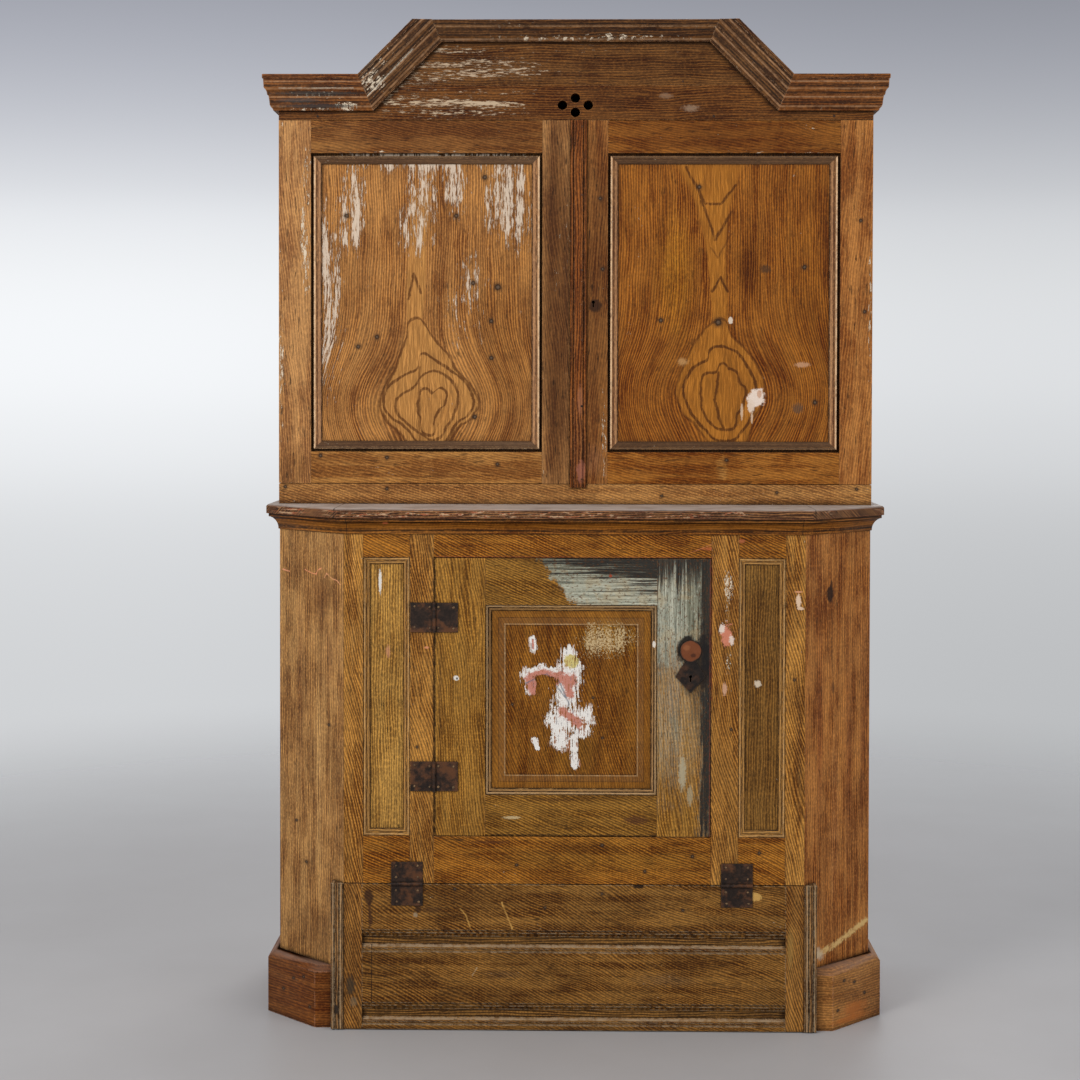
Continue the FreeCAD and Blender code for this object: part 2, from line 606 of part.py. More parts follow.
def lower_inside():
    inner = case_outline("-wall", "inner_back")
    node("base_floor", [slab("base_floor_body", "XY_Plane", "floor_board_high - board_thick",
                             "floor_board_high", case_outline("-wall - hinge_clear - 4", "inner_back"))])
    node("cupboard_floor", [slab("cupboard_floor_body", "XY_Plane", "cupboard_floor_high - board_thick",
                                 "cupboard_floor_high", inner)])
    shelf_front = "frame_back + shelf_set_back"
    narrow = "front_x - wall * mitre + shelf_set_back"
    inside, corner = "(side_x - wall)", "rear_y + wall * mitre"
    shelf = [(narrow, shelf_front), (inside, corner), (inside, "inner_back"),
             (negative(inside), "inner_back"), (negative(inside), corner), (negative(narrow), shelf_front)]
    node("lower_shelf", [slab("lower_shelf_body", "XY_Plane", "lower_shelf_high - board_thick",
                              "lower_shelf_high", shelf)])
    bearers = []
    battens = []
    for side in (-1, 1):
        hand = "left" if side < 0 else "right"
        inside = mirrored(side, "side_x - wall - batten_size * 4")
        outside = mirrored(side, "side_x - wall - batten_size * 3")
        across = (inside, outside) if side > 0 else (outside, inside)
        bearers.append(box("bearer_" + hand, across, ("rear_y", "inner_back"),
                           ("0", "floor_board_high - board_thick")))
        inside = mirrored(side, "side_x - wall - batten_size")
        outside = mirrored(side, "side_x - wall")
        across = (inside, outside) if side > 0 else (outside, inside)
        for label, level in (("floor", "cupboard_floor_high"), ("shelf", "lower_shelf_high")):
            battens.append(box("lower_%s_batten_%s" % (label, hand), across,
                               ("rear_y + wall * mitre", "inner_back"),
                               (level + " - board_thick - batten_size", level + " - board_thick")))
        inside = mirrored(side, "upper_inner_x - batten_size")
        outside = mirrored(side, "upper_inner_x")
        across = (inside, outside) if side > 0 else (outside, inside)
        for label, level in (("low", "upper_shelf_low"), ("high", "upper_shelf_high")):
            battens.append(box("upper_%s_batten_%s" % (label, hand), across,
                               ("upper_side_front + shelf_set_back", "inner_back"),
                               (level + " - board_thick - batten_size", level + " - board_thick")))
    node("floor_bearers", bearers)
    node("shelf_battens", battens)
    node("lower_back_boards", back_boards("lower_back", "side_x - wall", "0", "frame_high"))


def back_boards(name, reach, low, high):
    boards = []
    count = int(worth("back_board_count"))
    for index in range(count):
        left = "(2 * %d / back_board_count - 1) * (%s)" % (index, reach)
        right = "(2 * %d / back_board_count - 1) * (%s)" % (index + 1, reach)
        if index < count - 1:
            right += " - back_board_gap"
        boards.append(box("%s_%d" % (name, index + 1), (left, right), ("inner_back", "back"), (low, high)))
    return boards


def plinths():
    def corner(ease):
        set_back = "(plinth_set_back + %s)" % ease
        proud = "(plinth_thick - %s) * diagonal" % ease
        side = "(side_x + plinth_side_thick - %s)" % ease
        return (("front_x + %s + %s" % (set_back, proud), "front + " + set_back),
                (side, "front + %s - front_x - %s" % (side, proud)))

    start = "strip_x + strip_wide"
    for side, hand in ((-1, "left"), (1, "right")):
        blocks = []
        for label in ("block", "board"):
            outlines = []
            for ease in ("0", "plinth_ease"):
                first, second = corner(ease)
                if label == "block":
                    outline = [(start, "front + plinth_set_back + " + ease), first, second,
                               ("side_x", "rear_y"), (start, "front + %s - front_x" % start)]
                else:
                    outline = [second, (second[0], "back"), ("side_x", "back"), ("side_x", "rear_y")]
                outlines.append([(mirrored(side, x), y) for x, y in outline])
            body = doc.addObject("PartDesign::Body", "plinth_%s_%s" % (hand, label))
            shoulder = "plinth_tall - plinth_ease"
            pad(body, body.Name, "XY_Plane", "0", shoulder, [outlines[0]])
            loft(body, body.Name, "XY_Plane", [(shoulder, outlines[0]), ("plinth_tall", outlines[1])])
            blocks.append(body)
        node(hand + "_plinth", blocks)

    strips = []
    for side, hand in ((-1, "left"), (1, "right")):
        face = "front - strip_proud"
        sunk = "front - strip_proud + strip_quirk"
        outline = [("strip_x", "front + flap_end_gap"), ("strip_x", face)]
        for share in ("0.3", "0.7"):
            line = "strip_x + strip_wide * " + share
            outline += [(line, face), (line, sunk), (line + " + strip_quirk", sunk),
                        (line + " + strip_quirk", face)]
        outline += [("strip_x + strip_wide", face),
                    ("strip_x + strip_wide", "front + flap_end_gap + strip_wide")]
        outline = [(mirrored(side, x), y) for x, y in outline]
        strips.append(slab("strip_" + hand, "XY_Plane", "flap_floor_gap", "base_height", outline))
    node("corner_strips", strips)


# lower stage: door and flap

def stile(name, left, right, low, high, face, thick, recess, groove_side, panel_low, panel_high):
    # an upright with a panel groove along one edge, and mortises for its two rails
    groove_front = "%s + %s" % (face, recess)
    groove_back = "%s + %s + panel_thick" % (face, recess)
    rear = "%s + %s" % (face, thick)
    edge = right if groove_side > 0 else left
    other = left if groove_side > 0 else right
    bottom = "%s - (%d) * groove_deep" % (edge, groove_side)
    outline = [(other, face), (edge, face), (edge, groove_front), (bottom, groove_front),
               (bottom, groove_back), (edge, groove_back), (edge, rear), (other, rear)]
    levels = ((low + " + tenon_shoulder", panel_low + " - groove_deep"),
              (panel_high + " + groove_deep", high + " - tenon_shoulder"))
    upright = slab(name, "XY_Plane", low, high, outline)
    return mortises(name, upright, edge, -groove_side, levels, groove_front, groove_back, "tenon_long")


def rail(name, left, right, low, high, face, thick, recess, groove_side):
    # a cross piece with a panel groove along its upper or lower edge, and a tenon at each end
    groove_front = "%s + %s" % (face, recess)
    groove_back = "%s + %s + panel_thick" % (face, recess)
    rear = "%s + %s" % (face, thick)
    edge = high if groove_side > 0 else low
    other = low if groove_side > 0 else high
    bottom = "%s - (%d) * groove_deep" % (edge, groove_side)
    outline = [(face, other), (face, edge), (groove_front, edge), (groove_front, bottom),
               (groove_back, bottom), (groove_back, edge), (rear, edge), (rear, other)]
    body = slab(name, "YZ_Plane", left, right, outline)
    tenons(body, left, right, other, bottom, groove_side, groove_front, groove_back, "tenon_long")
    return body


def keyhole(name, key_x, key_z, front_line, rear_line):
    long = "(%s) - (%s)" % (rear_line, front_line)
    round_part = cylinder(name + "_round", "keyhole_radius", long, (key_x, front_line, key_z), (0, 1, 0))
    slot = box(name + "_slot", (key_x + " - keyhole_slot / 2", key_x + " + keyhole_slot / 2"),
               (front_line, rear_line), (key_z + " - keyhole_drop", key_z))
    return fuse(name, [round_part, slot])


def lower_door():
    panel = ("lower_panel_left", "lower_panel_right", "lower_panel_low", "lower_panel_high")
    left, right, low, high = panel
    hinge_stile = stile("lower_hinge_stile", "door_left", left, "door_base", "door_top", "front", "wall",
                        "lower_recess", 1, low, high)
    lock_stile = stile("lower_lock_stile", right, "door_right", "door_base", "door_top", "front", "wall",
                       "lower_recess", -1, low, high)
    hole = keyhole("lower_keyhole", "lower_key_x", "lower_lock_high", "front - 1", "frame_back + 1")
    node("lower_door_stiles", [hinge_stile, cut("lower_lock_stile_bored", lock_stile, [hole])])
    node("lower_door_rails", [
        rail("lower_door_bottom", left, right, "door_base", low, "front", "wall", "lower_recess", 1),
        rail("lower_door_top", left, right, high, "door_top", "front", "wall", "lower_recess", -1)])

    body = doc.addObject("PartDesign::Body", "lower_field")
    reach = "(groove_deep - panel_fit)"
    face = "(front + lower_recess)"
    pad(body, "lower_field", "XZ_Plane", face, face + " + panel_thick",
        [rectangle(left + " - " + reach, low + " - " + reach, right + " + " + reach, high + " + " + reach)])
    levels = []
    for offset, inset in ((face, "lower_moulding_wide"),
                          (face + " - field_rise", "(lower_moulding_wide + bevel_wide)")):
        levels.append((negative(offset), rectangle(
            "%s + %s" % (left, inset), "%s + %s" % (low, inset),
            "%s - %s" % (right, inset), "%s - %s" % (high, inset))))
    loft(body, "lower_field_bevel", "XZ_Plane", levels)
    node("lower_door_panel", [body])
    node("lower_door_mouldings", framed(
        "lower_door_moulding", panel_moulding("lower_moulding_wide", "lower_moulding_thick"),
        "lower_moulding_wide", "lower_moulding_thick", left, low, right, high, face))

    diamond = [("lower_key_x - escutcheon_wide / 2", "lower_lock_high"),
               ("lower_key_x", "lower_lock_high - escutcheon_down"),
               ("lower_key_x + escutcheon_wide / 2", "lower_lock_high"),
               ("lower_key_x", "lower_lock_high + escutcheon_up")]
    plate = slab("escutcheon_plate", "XZ_Plane", "front - escutcheon_thick", "front", diamond)
    boss = cylinder("escutcheon_boss", "boss_radius", "boss_thick",
                    ("lower_key_x", "front - boss_thick", "lower_lock_high + boss_up"), (0, 1, 0))
    hole = keyhole("escutcheon_keyhole", "lower_key_x", "lower_lock_high", "front - 5", "front + 1")
    node("escutcheon", [cut("escutcheon_pierced", fuse("escutcheon_blank", [plate, boss]), [hole])])
    lock("lower", "lower_key_x", "lower_lock_high", "frame_back", "door_right - lock_edge", 1)


def lock(name, key_x, key_z, face, edge, side):
    # a rim lock on the back of a stile; its bolt slides out past the door's edge, behind the next stile
    far = "%s - (%d) * lock_wide" % (edge, side)
    across = (far, edge) if side > 0 else (edge, far)
    low = key_z + " - lock_tall / 2"
    case = box(name + "_lock_block", across, (face, face + " + lock_deep"), (low, low + " + lock_tall"))
    bolt_front = face + " + (lock_deep - bolt_thick) / 2"
    bolt_low = key_z + " + keyhole_radius + bolt_fit + 2"
    inner = "%s - (%d) * bolt_long" % (edge, side)
    bolt_across = (inner, edge) if side > 0 else (edge, inner)
    slot_across = ((inner + " - bolt_fit", edge + " + 1") if side > 0
                   else (edge + " - 1", inner + " + bolt_fit"))
    slot = box(name + "_lock_slot", slot_across,
               (bolt_front + " - bolt_fit", bolt_front + " + bolt_thick + bolt_fit"),
               (bolt_low + " - bolt_fit", bolt_low + " + bolt_tall + bolt_fit"))
    node(name + "_lock_case", [cut(name + "_lock_bored", case, [slot])])
    node(name + "_lock_bolt", [box(name + "_bolt", bolt_across, (bolt_front, bolt_front + " + bolt_thick"),
                                   (bolt_low, bolt_low + " + bolt_tall"))])


def base_flap():
    stiles = []
    for side, hand in ((-1, "left"), (1, "right")):
        slat_front = "front + slat_sunk"
        slat_back = "front + slat_sunk + slat_thick"
        bottom = "flap_opening_x + groove_deep"
        outline = [("flap_x", "front"), ("flap_x - wall * mitre", "frame_back"),
                   ("flap_opening_x", "frame_back"), ("flap_opening_x", slat_back), (bottom, slat_back),
                   (bottom, slat_front), ("flap_opening_x", slat_front), ("flap_opening_x", "front")]
        outline = [(mirrored(side, x), y) for x, y in outline]
        stiles.append(slab("flap_%s_stile" % hand, "XY_Plane", "flap_floor_gap", "flap_high", outline))
    node("flap_stiles", stiles)

    # a rail's section, from the back; a moulded edge has a bead, a sunk line and a groove for its slat
    groove_low = "wall - slat_sunk - slat_thick"
    groove_high = "wall - slat_sunk"
    sunk = "wall - flap_edge_sunk"

    def lower_edge(level, way):
        def off(distance):
            return "%s + (%d) * (%s)" % (level, way, distance)
        return [(level, "0"), (level, groove_low), (off("groove_deep"), groove_low),
                (off("groove_deep"), groove_high), (level, groove_high), (level, sunk),
                (off("2"), sunk), (off("flap_edge_tall * 0.6"), "wall - 2", "flap_edge_tall * 0.75", -way),
                (off("flap_edge_tall * 0.6"), "wall - 3"), (off("flap_edge_tall"), "wall - 3"),
                (off("flap_edge_tall"), "wall")]

    top_tall = "flap_top_rail"
    middle_tall = "(flap_high_slot - flap_low_slot - flap_slot)"
    sections = (
        ("top", "flap_high_slot + flap_slot", top_tall, ("groove_deep", top_tall),
         lower_edge("0", 1) + [(top_tall, "wall"), (top_tall, "0")]),
        ("middle", "flap_low_slot + flap_slot", middle_tall, ("groove_deep", middle_tall + " - groove_deep"),
         lower_edge("0", 1) + lower_edge(middle_tall, -1)[::-1]),
        ("bottom", "flap_floor_gap", "flap_bottom_rail", ("0", "flap_bottom_rail - groove_deep"),
         [("0", "0"), ("0", "wall")] + lower_edge("flap_bottom_rail", -1)[::-1]))
    reach = "(groove_deep - panel_fit)"
    rails = []
    for label, level, tall, tongue, section in sections:
        if label != "top":
            section = reversed_arcs(section)
        body = run("flap_%s_rail" % label, section, "(2 * flap_opening_x)", tall, "wall",
                   ("face", "0"), ("face", "0"), ("-flap_opening_x", "frame_back", level),
                   axes((1, 0, 0), (0, 0, 1), (0, -1, 0)))
        pad(body, body.Name + "_tongue", "YZ_Plane", negative(reach), "2 * flap_opening_x + " + reach,
            [rectangle(tongue[0], groove_low, tongue[1], groove_high)])
        rails.append(body)
    node("flap_rails", rails)
    slats = []
    for label, level in (("low", "flap_low_slot"), ("high", "flap_high_slot")):
        slats.append(box("flap_%s_slat" % label,
                         ("-flap_opening_x - " + reach, "flap_opening_x + " + reach),
                         ("front + slat_sunk", "front + slat_sunk + slat_thick"),
                         (level + " - " + reach, level + " + flap_slot + " + reach)))
    node("flap_slats", slats)


def reversed_arcs(section):
    # walking an outline backwards moves each arc to the corner before it and turns it the other way
    fixed = []
    for index, step in enumerate(section):
        before = section[index - 1]
        arc = (before[2], before[3]) if len(before) > 2 and before[-1] == 1 else ()
        keep = (step[2], step[3]) if len(step) > 2 and step[-1] == -1 else ()
        fixed.append((step[0], step[1]) + (arc and (arc[0], -arc[1]) or keep))
    return fixed


# hinges

butt_levels = (("low", "upper_door_low + butt_end"), ("high", "upper_door_high - butt_end - butt_tall"))


def leaf(name, tall, radius, plate, mount, wide, knuckles, base, turn):
    # the barrel is on the leaf's own Z axis; the plate runs to +X, with its seat at Y = mount
    plate_low = "%s - %s" % (mount, plate)
    pieces = [box(name + "_plate", ("%s + hinge_clear" % radius, wide), (plate_low, mount), ("0", tall))]
    for index in knuckles:
        low = "%s * %d / 5 + hinge_clear / 4" % (tall, index)
        high = "%s * %d / 5 - hinge_clear / 4" % (tall, index + 1)
        pieces.append(cylinder("%s_knuckle_%d" % (name, index), radius, "(%s) - (%s)" % (high, low),
                               ("0", "0", low), (0, 0, 1)))
        pieces.append(box("%s_web_%d" % (name, index), ("0", "%s + hinge_clear + 1" % radius),
                          (plate_low, mount), (low, high)))
    bore = cylinder(name + "_bore", "pin_radius + pin_fit", tall + " + 2", ("0", "0", "-1"), (0, 0, 1))
    whole = cut(name, fuse(name + "_blank", pieces), [bore])
    place(whole, base, turn)
    return whole


def pin(name, tall, base, direction):
    return cylinder(name, "pin_radius", tall + " + 3", base, direction)


def hinges():
    case_leaves, pins, door_leaves, flap_leaves = [], [], [], []
    surface = ("hinge_radius", "hinge_plate", "hinge_radius")
    for label, low in (("low", "door_base + door_hinge_end"),
                       ("high", "door_top - door_hinge_end - hinge_tall")):
        base = ("lower_axis_x", "surface_axis", low)
        over = ("lower_axis_x", "surface_axis", low + " + hinge_tall")
        door_leaves.append(leaf("lower_door_%s_leaf" % label, "hinge_tall", *surface, "hinge_leaf", (1, 3),
                                base, axes((1, 0, 0), (0, 1, 0), (0, 0, 1))))
        case_leaves.append(leaf("lower_case_%s_leaf" % label, "hinge_tall", *surface, "hinge_leaf",
                                (0, 2, 4), over, axes((-1, 0, 0), (0, 1, 0), (0, 0, -1))))
        pins.append(pin("lower_door_%s_pin" % label, "hinge_tall",
                        ("lower_axis_x", "surface_axis", low + " - 1.5"), (0, 0, 1)))
    for label, middle in (("left", "left_flap_hinge_in - front_x"),
                          ("right", "front_x - right_flap_hinge_in")):
        start = middle + " - flap_hinge_wide / 2"
        end = middle + " + flap_hinge_wide / 2"
        flap_leaves.append(leaf("flap_%s_leaf" % label, "flap_hinge_wide", *surface, "flap_hinge_leaf",
                                (1, 3), (start, "surface_axis", "flap_axis_z"),
                                axes((0, 0, -1), (0, 1, 0), (1, 0, 0))))
        case_leaves.append(leaf("flap_case_%s_leaf" % label, "flap_hinge_wide", *surface, "flap_hinge_leaf",
                                (0, 2, 4), (end, "surface_axis", "flap_axis_z"),
                                axes((0, 0, 1), (0, 1, 0), (-1, 0, 0))))
        pins.append(pin("flap_%s_pin" % label, "flap_hinge_wide",
                        (start + " - 1.5", "surface_axis", "flap_axis_z"), (1, 0, 0)))
    node("lower_case_hinge_leaves", case_leaves)
    node("lower_door_hinge_leaves", door_leaves)
    node("flap_hinge_leaves", flap_leaves)

    case_leaves = []
    butt = ("butt_radius", "butt_plate", "upper_door_gap / 2 + butt_plate")
    for side, hand in ((-1, "left"), (1, "right")):
        door_leaves = []
        axis_x = mirrored(side, "upper_x")
        for label, low in butt_levels:
            base = (axis_x, "butt_axis", low)
            over = (axis_x, "butt_axis", low + " + butt_tall")
            name = "upper_%s_%s" % (hand, label)
            ends = (base, over) if side < 0 else (over, base)
            door_leaves.append(leaf(name + "_door_leaf", "butt_tall", *butt, "butt_leaf", (1, 3),
                                    ends[1], axes((-side, 0, 0), (0, -1, 0), (0, 0, side))))
            case_leaves.append(leaf(name + "_case_leaf", "butt_tall", *butt, "butt_leaf", (0, 2, 4),
                                    ends[0], axes((-side, 0, 0), (0, 1, 0), (0, 0, -side))))
            pins.append(pin(name + "_pin", "butt_tall", (axis_x, "butt_axis", low + " - 1.5"), (0, 0, 1)))
        node("upper_%s_hinge_leaves" % hand, door_leaves)
    node("upper_case_hinge_leaves", case_leaves)
    node("hinge_pins", pins)


def butt_seats(name, side, deep):
    # recesses for one edge's two butt leaves, with room for their barrels
    tools = []
    axis_x = mirrored(side, "upper_x")
    inner = mirrored(side, "upper_x - butt_leaf - hinge_clear")
    outer = mirrored(side, "upper_x + 1")
    across = (inner, outer) if side > 0 else (outer, inner)
    for label, low in butt_levels:
        tall = (low + " - hinge_clear", low + " + butt_tall + hinge_clear")
        tools.append(box("%s_%s_seat" % (name, label), across, deep, tall))
        tools.append(cylinder("%s_%s_room" % (name, label), "butt_radius + hinge_clear", "butt_tall + 6",
                              (axis_x, "butt_axis", low + " - 3"), (0, 0, 1)))
    return tools


# upper stage

def upper_case():
    for side, hand in ((-1, "left"), (1, "right")):
        edges = [mirrored(side, "upper_inner_x"), mirrored(side, "upper_x")]
        across = tuple(edges) if side > 0 else tuple(edges[::-1])
        board = box("upper_%s_board" % hand, across, ("upper_side_front", "back"),
                    ("waist_height", "cornice_high"))
        seats = butt_seats("upper_%s_side" % hand, side,
                           ("upper_side_front - 1", "upper_side_front + butt_plate"))
        node("upper_%s_side_board" % hand, [cut("upper_%s_side" % hand, board, seats)])
    inside = ("-upper_inner_x", "upper_inner_x")
    node("upper_floor", [box("upper_floor_board", inside, ("upper_back", "inner_back"),
                             ("waist_height", "waist_height + board_thick"))])
    node("upper_base_rail", [box("upper_base_rail_board", ("-upper_x", "upper_x"),
                                 ("upper_front", "upper_back"),
                                 ("waist_height", "waist_height + base_rail_tall"))])
    shelves = []
    for label, level in (("low", "upper_shelf_low"), ("high", "upper_shelf_high")):
        shelves.append(box("upper_%s_shelf" % label, inside,
                           ("upper_side_front + shelf_set_back", "inner_back"),
                           (level + " - board_thick", level)))
    node("upper_shelves", shelves)
    node("upper_top_board", [box("upper_top", inside, ("upper_back", "inner_back"),
                                 ("cornice_high - board_thick", "cornice_high"))])
    node("upper_back_boards", back_boards("upper_back", "upper_inner_x", "waist_height", "cornice_high"))


def frieze():
    lower = box("frieze_lower", ("-upper_x", "upper_x"), ("upper_front", "upper_back"),
                ("frieze_low", "frieze_joint"))
    vents = []
    places = (("top", "0", "vent_rise"), ("left", "-vent_side", "0"), ("right", "vent_side", "0"),
              ("bottom", "0", "-vent_rise"))
    for label, x, z in places:
        vents.append(cylinder("vent_" + label, "vent_radius", "upper_front_thick + 2",
                              (x, "upper_front - 1", "vent_middle + " + z), (0, 1, 0)))
    node("frieze_board", [cut("frieze_bored", lower, vents)])
    outline = [("-upper_x", "frieze_joint"), ("upper_x", "frieze_joint"), ("upper_x", "cornice_high"),
               ("rake_foot", "cornice_high"), ("pediment_x", "pediment_high"),
               ("-pediment_x", "pediment_high"), ("-rake_foot", "cornice_high"), ("-upper_x", "cornice_high")]
    node("pediment_board", [slab("pediment", "XZ_Plane", "upper_front", "upper_back", outline)])


def cornice():
    # heights are shares of the cornice's height, reaches are shares of its reach
    def at(height, reach):
        return ("cornice_tall * %s" % height, "cornice_reach * %s" % reach)

    full = [at(0, 0), at(0, 0.34), at(0.05, 0.36), at(0.2, 0.55) + ("cornice_tall * 0.19", -1),
            at(0.23, 0.55), at(0.43, 0.62), at(0.43, 0.7), at(0.62, 0.9) + ("cornice_tall * 0.22", 1),
            at(0.88, 0.93), at(0.88, 1), at(1, 1), at(1, 0)]
    crown = full[:7] + [("crown_tall", "cornice_reach * 0.78"), ("crown_tall", "0")]
    wide, thick = "cornice_tall", "cornice_reach"
    up = (0, 0, 1)
    end_long = "(upper_x - rake_inner_foot)"
    back_long = "(back - upper_front)"
    ends = [
        run("cornice_left_end", full, end_long, wide, thick, ("corner", "-1"), ("face", "-mitre"),
            ("-upper_x", "upper_front", "cornice_low"), axes((1, 0, 0), up, (0, -1, 0))),
        run("cornice_right_end", full, end_long, wide, thick, ("face", "mitre"), ("corner", "1"),
            ("rake_inner_foot", "upper_front", "cornice_low"), axes((1, 0, 0), up, (0, -1, 0)))]
    returns = [
        run("cornice_left_return", full, back_long, wide, thick, ("face", "0"), ("corner", "1"),
            ("-upper_x", "back", "cornice_low"), axes((0, -1, 0), up, (-1, 0, 0))),
        run("cornice_right_return", full, back_long, wide, thick, ("corner", "-1"), ("face", "0"),
            ("upper_x", "upper_front", "cornice_low"), axes((0, 1, 0), up, (1, 0, 0)))]
    node("cornice_ends", ends)
    node("cornice_returns", returns)

    half = 1 / math.sqrt(2)
    level = "crown_tall * diagonal"
    rakes = []
    spare, beyond = "cornice_tall + 1", "rake_long + 4 * cornice_tall"
    top_cut = [("rake_long + %s + 1" % level, "-1"), ("rake_long + %s - cornice_tall - 1" % level, spare),
               (beyond, spare), (beyond, "-1")]
    rakes.append(run("cornice_left_rake", full, "rake_long", wide, thick, ("face", "mitre"),
                     ("face", "mitre"), ("-rake_inner_foot", "upper_front", "cornice_low"),
                     axes((half, 0, half), (-half, 0, half), (0, -1, 0)), [top_cut]))
    top_cut = [("-%s - 1" % level, "-1"), ("cornice_tall + 1 - %s" % level, "cornice_tall + 1"),
               ("-4 * cornice_tall", "cornice_tall + 1"), ("-4 * cornice_tall", "-1")]
    rakes.append(run("cornice_right_rake", full, "rake_long", wide, thick, ("face", "-mitre"),
                     ("face", "-mitre"), ("crown_x", "upper_front", "crown_low"),
                     axes((half, 0, -half), (half, 0, half), (0, -1, 0)), [top_cut]))
    node("cornice_rakes", rakes)
    top = run("cornice_crown_run", crown, "(2 * crown_x)", "crown_tall", thick, ("face", "-mitre"),
              ("face", "mitre"), ("-crown_x", "upper_front", "crown_low"), axes((1, 0, 0), up, (0, -1, 0)))
    node("cornice_crown", [top])


def upper_door(hand, left, panel_left, panel_right, right, side):
    face, thick, recess = "upper_front", "upper_front_thick", "upper_recess"
    low, high = "upper_door_low", "upper_door_high"
    panel_low = "upper_door_low + upper_bottom_rail"
    panel_high = "upper_door_high - upper_top_rail"
    name = "upper_%s" % hand
    first = stile(name + "_first_stile", left, panel_left, low, high, face, thick, recess, 1, panel_low,
                  panel_high)
    second = stile(name + "_second_stile", panel_right, right, low, high, face, thick, recess, -1, panel_low,
                   panel_high)
    seats = butt_seats(name + "_door", side, ("upper_back - butt_plate", "upper_back + 1"))
    if side < 0:
        first = cut(name + "_hinge_stile", first, seats)
    else:
        second = cut(name + "_hinge_stile", second, seats)
        hole = keyhole(name + "_keyhole", "upper_key_x", "upper_lock_high", "upper_front - 1",
                       "upper_back + 1")
        first = cut(name + "_lock_stile", first, [hole])
    node(name + "_door_stiles", [first, second])
    node(name + "_door_rails", [
        rail(name + "_bottom", panel_left, panel_right, low, panel_low, face, thick, recess, 1),
        rail(name + "_top", panel_left, panel_right, panel_high, high, face, thick, recess, -1)])
    reach = "(groove_deep - panel_fit)"
    node(name + "_door_panel", [box(name + "_panel",
                                    (panel_left + " - " + reach, panel_right + " + " + reach),
                                    ("upper_front + upper_recess",
                                     "upper_front + upper_recess + panel_thick"),
                                    (panel_low + " - " + reach, panel_high + " + " + reach))])
    node(name + "_door_mouldings", framed(
        name + "_moulding", panel_moulding("upper_moulding_wide", "upper_moulding_thick"),
        "upper_moulding_wide", "upper_moulding_thick",
        panel_left + " + upper_moulding_gap", panel_low + " + upper_moulding_gap",
        panel_right + " - upper_moulding_gap", panel_high + " - upper_moulding_gap",
        "upper_front + upper_recess"))


def upper_doors():
    upper_door("left", "-upper_x", "-upper_panel_x", "left_door_edge - left_meeting_stile",
               "left_door_edge", -1)
    upper_door("right", "right_door_edge", "right_door_edge + right_meeting_stile", "upper_panel_x",
               "upper_x", 1)
    left, right = "right_door_edge", "right_door_edge + astragal_wide"
    shoulder = "upper_front - astragal_thick + astragal_bead / 2"
    quirk = "upper_front - astragal_thick / 2"
    face = "upper_front - astragal_thick + 1"
    bead = "astragal_bead * 0.53"
    outline = [(left, "upper_front"), (left, shoulder), (left + " + astragal_bead", shoulder, bead, 1),
               (left + " + astragal_bead", quirk), (left + " + astragal_bead + 2", quirk),
               (left + " + astragal_bead + 2", face), (right + " - astragal_bead - 2", face),
               (right + " - astragal_bead - 2", quirk), (right + " - astragal_bead", quirk),
               (right + " - astragal_bead", shoulder), (right, shoulder, bead, 1), (right, "upper_front")]
    node("meeting_strip", [slab("astragal", "XY_Plane", "upper_door_low - astragal_drop", "upper_door_high",
                                outline)])
    lock("upper", "upper_key_x", "upper_lock_high", "upper_back", "right_door_edge + lock_edge", -1)


def check():
    for item in doc.Objects:
        if "Invalid" in item.State or "Error" in item.State:
            raise RuntimeError("%s failed: %s" % (item.Name, item.State))
    for whole in nodes:
        shape = whole.Shape
        if shape.isNull() or not shape.isValid() or not shape.Solids:
            raise RuntimeError("%s has no valid shape" % whole.Label)
        if any(solid.Volume <= 0 for solid in shape.Solids):
            raise RuntimeError("%s has an empty solid" % whole.Label)


fill_sheet()
lower_boards()
lower_front()
waist()
lower_inside()
plinths()
lower_door()
base_flap()
hinges()
upper_case()
frieze()
cornice()
upper_doors()
doc.recompute()
check()
os.makedirs("parts", exist_ok=True)
for whole in nodes:
    whole.Shape.exportStep("parts/%s.step" % whole.Label)
print("wrote %d nodes" % len(nodes))
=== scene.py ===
import bpy
import bmesh
import json
import math
import random
from mathutils import Matrix, Vector


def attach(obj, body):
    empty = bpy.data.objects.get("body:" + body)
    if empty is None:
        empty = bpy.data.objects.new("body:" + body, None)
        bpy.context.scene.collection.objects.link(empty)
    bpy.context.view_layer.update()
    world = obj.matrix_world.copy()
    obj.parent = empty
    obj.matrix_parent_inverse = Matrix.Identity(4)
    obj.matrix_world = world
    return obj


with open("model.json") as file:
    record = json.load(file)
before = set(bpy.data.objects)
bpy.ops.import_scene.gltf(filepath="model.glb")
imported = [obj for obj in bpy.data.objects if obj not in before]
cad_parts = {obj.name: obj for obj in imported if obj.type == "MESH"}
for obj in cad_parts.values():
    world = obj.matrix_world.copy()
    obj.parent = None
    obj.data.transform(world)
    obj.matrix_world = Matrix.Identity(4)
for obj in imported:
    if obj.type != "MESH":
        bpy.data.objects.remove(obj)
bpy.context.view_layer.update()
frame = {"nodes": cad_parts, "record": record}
scene = bpy.context.scene
nodes = frame["nodes"]
print("frame loaded:", len(nodes), "nodes")


# small helpers for shader trees

current = {"tree": None}  # the tree that is being made


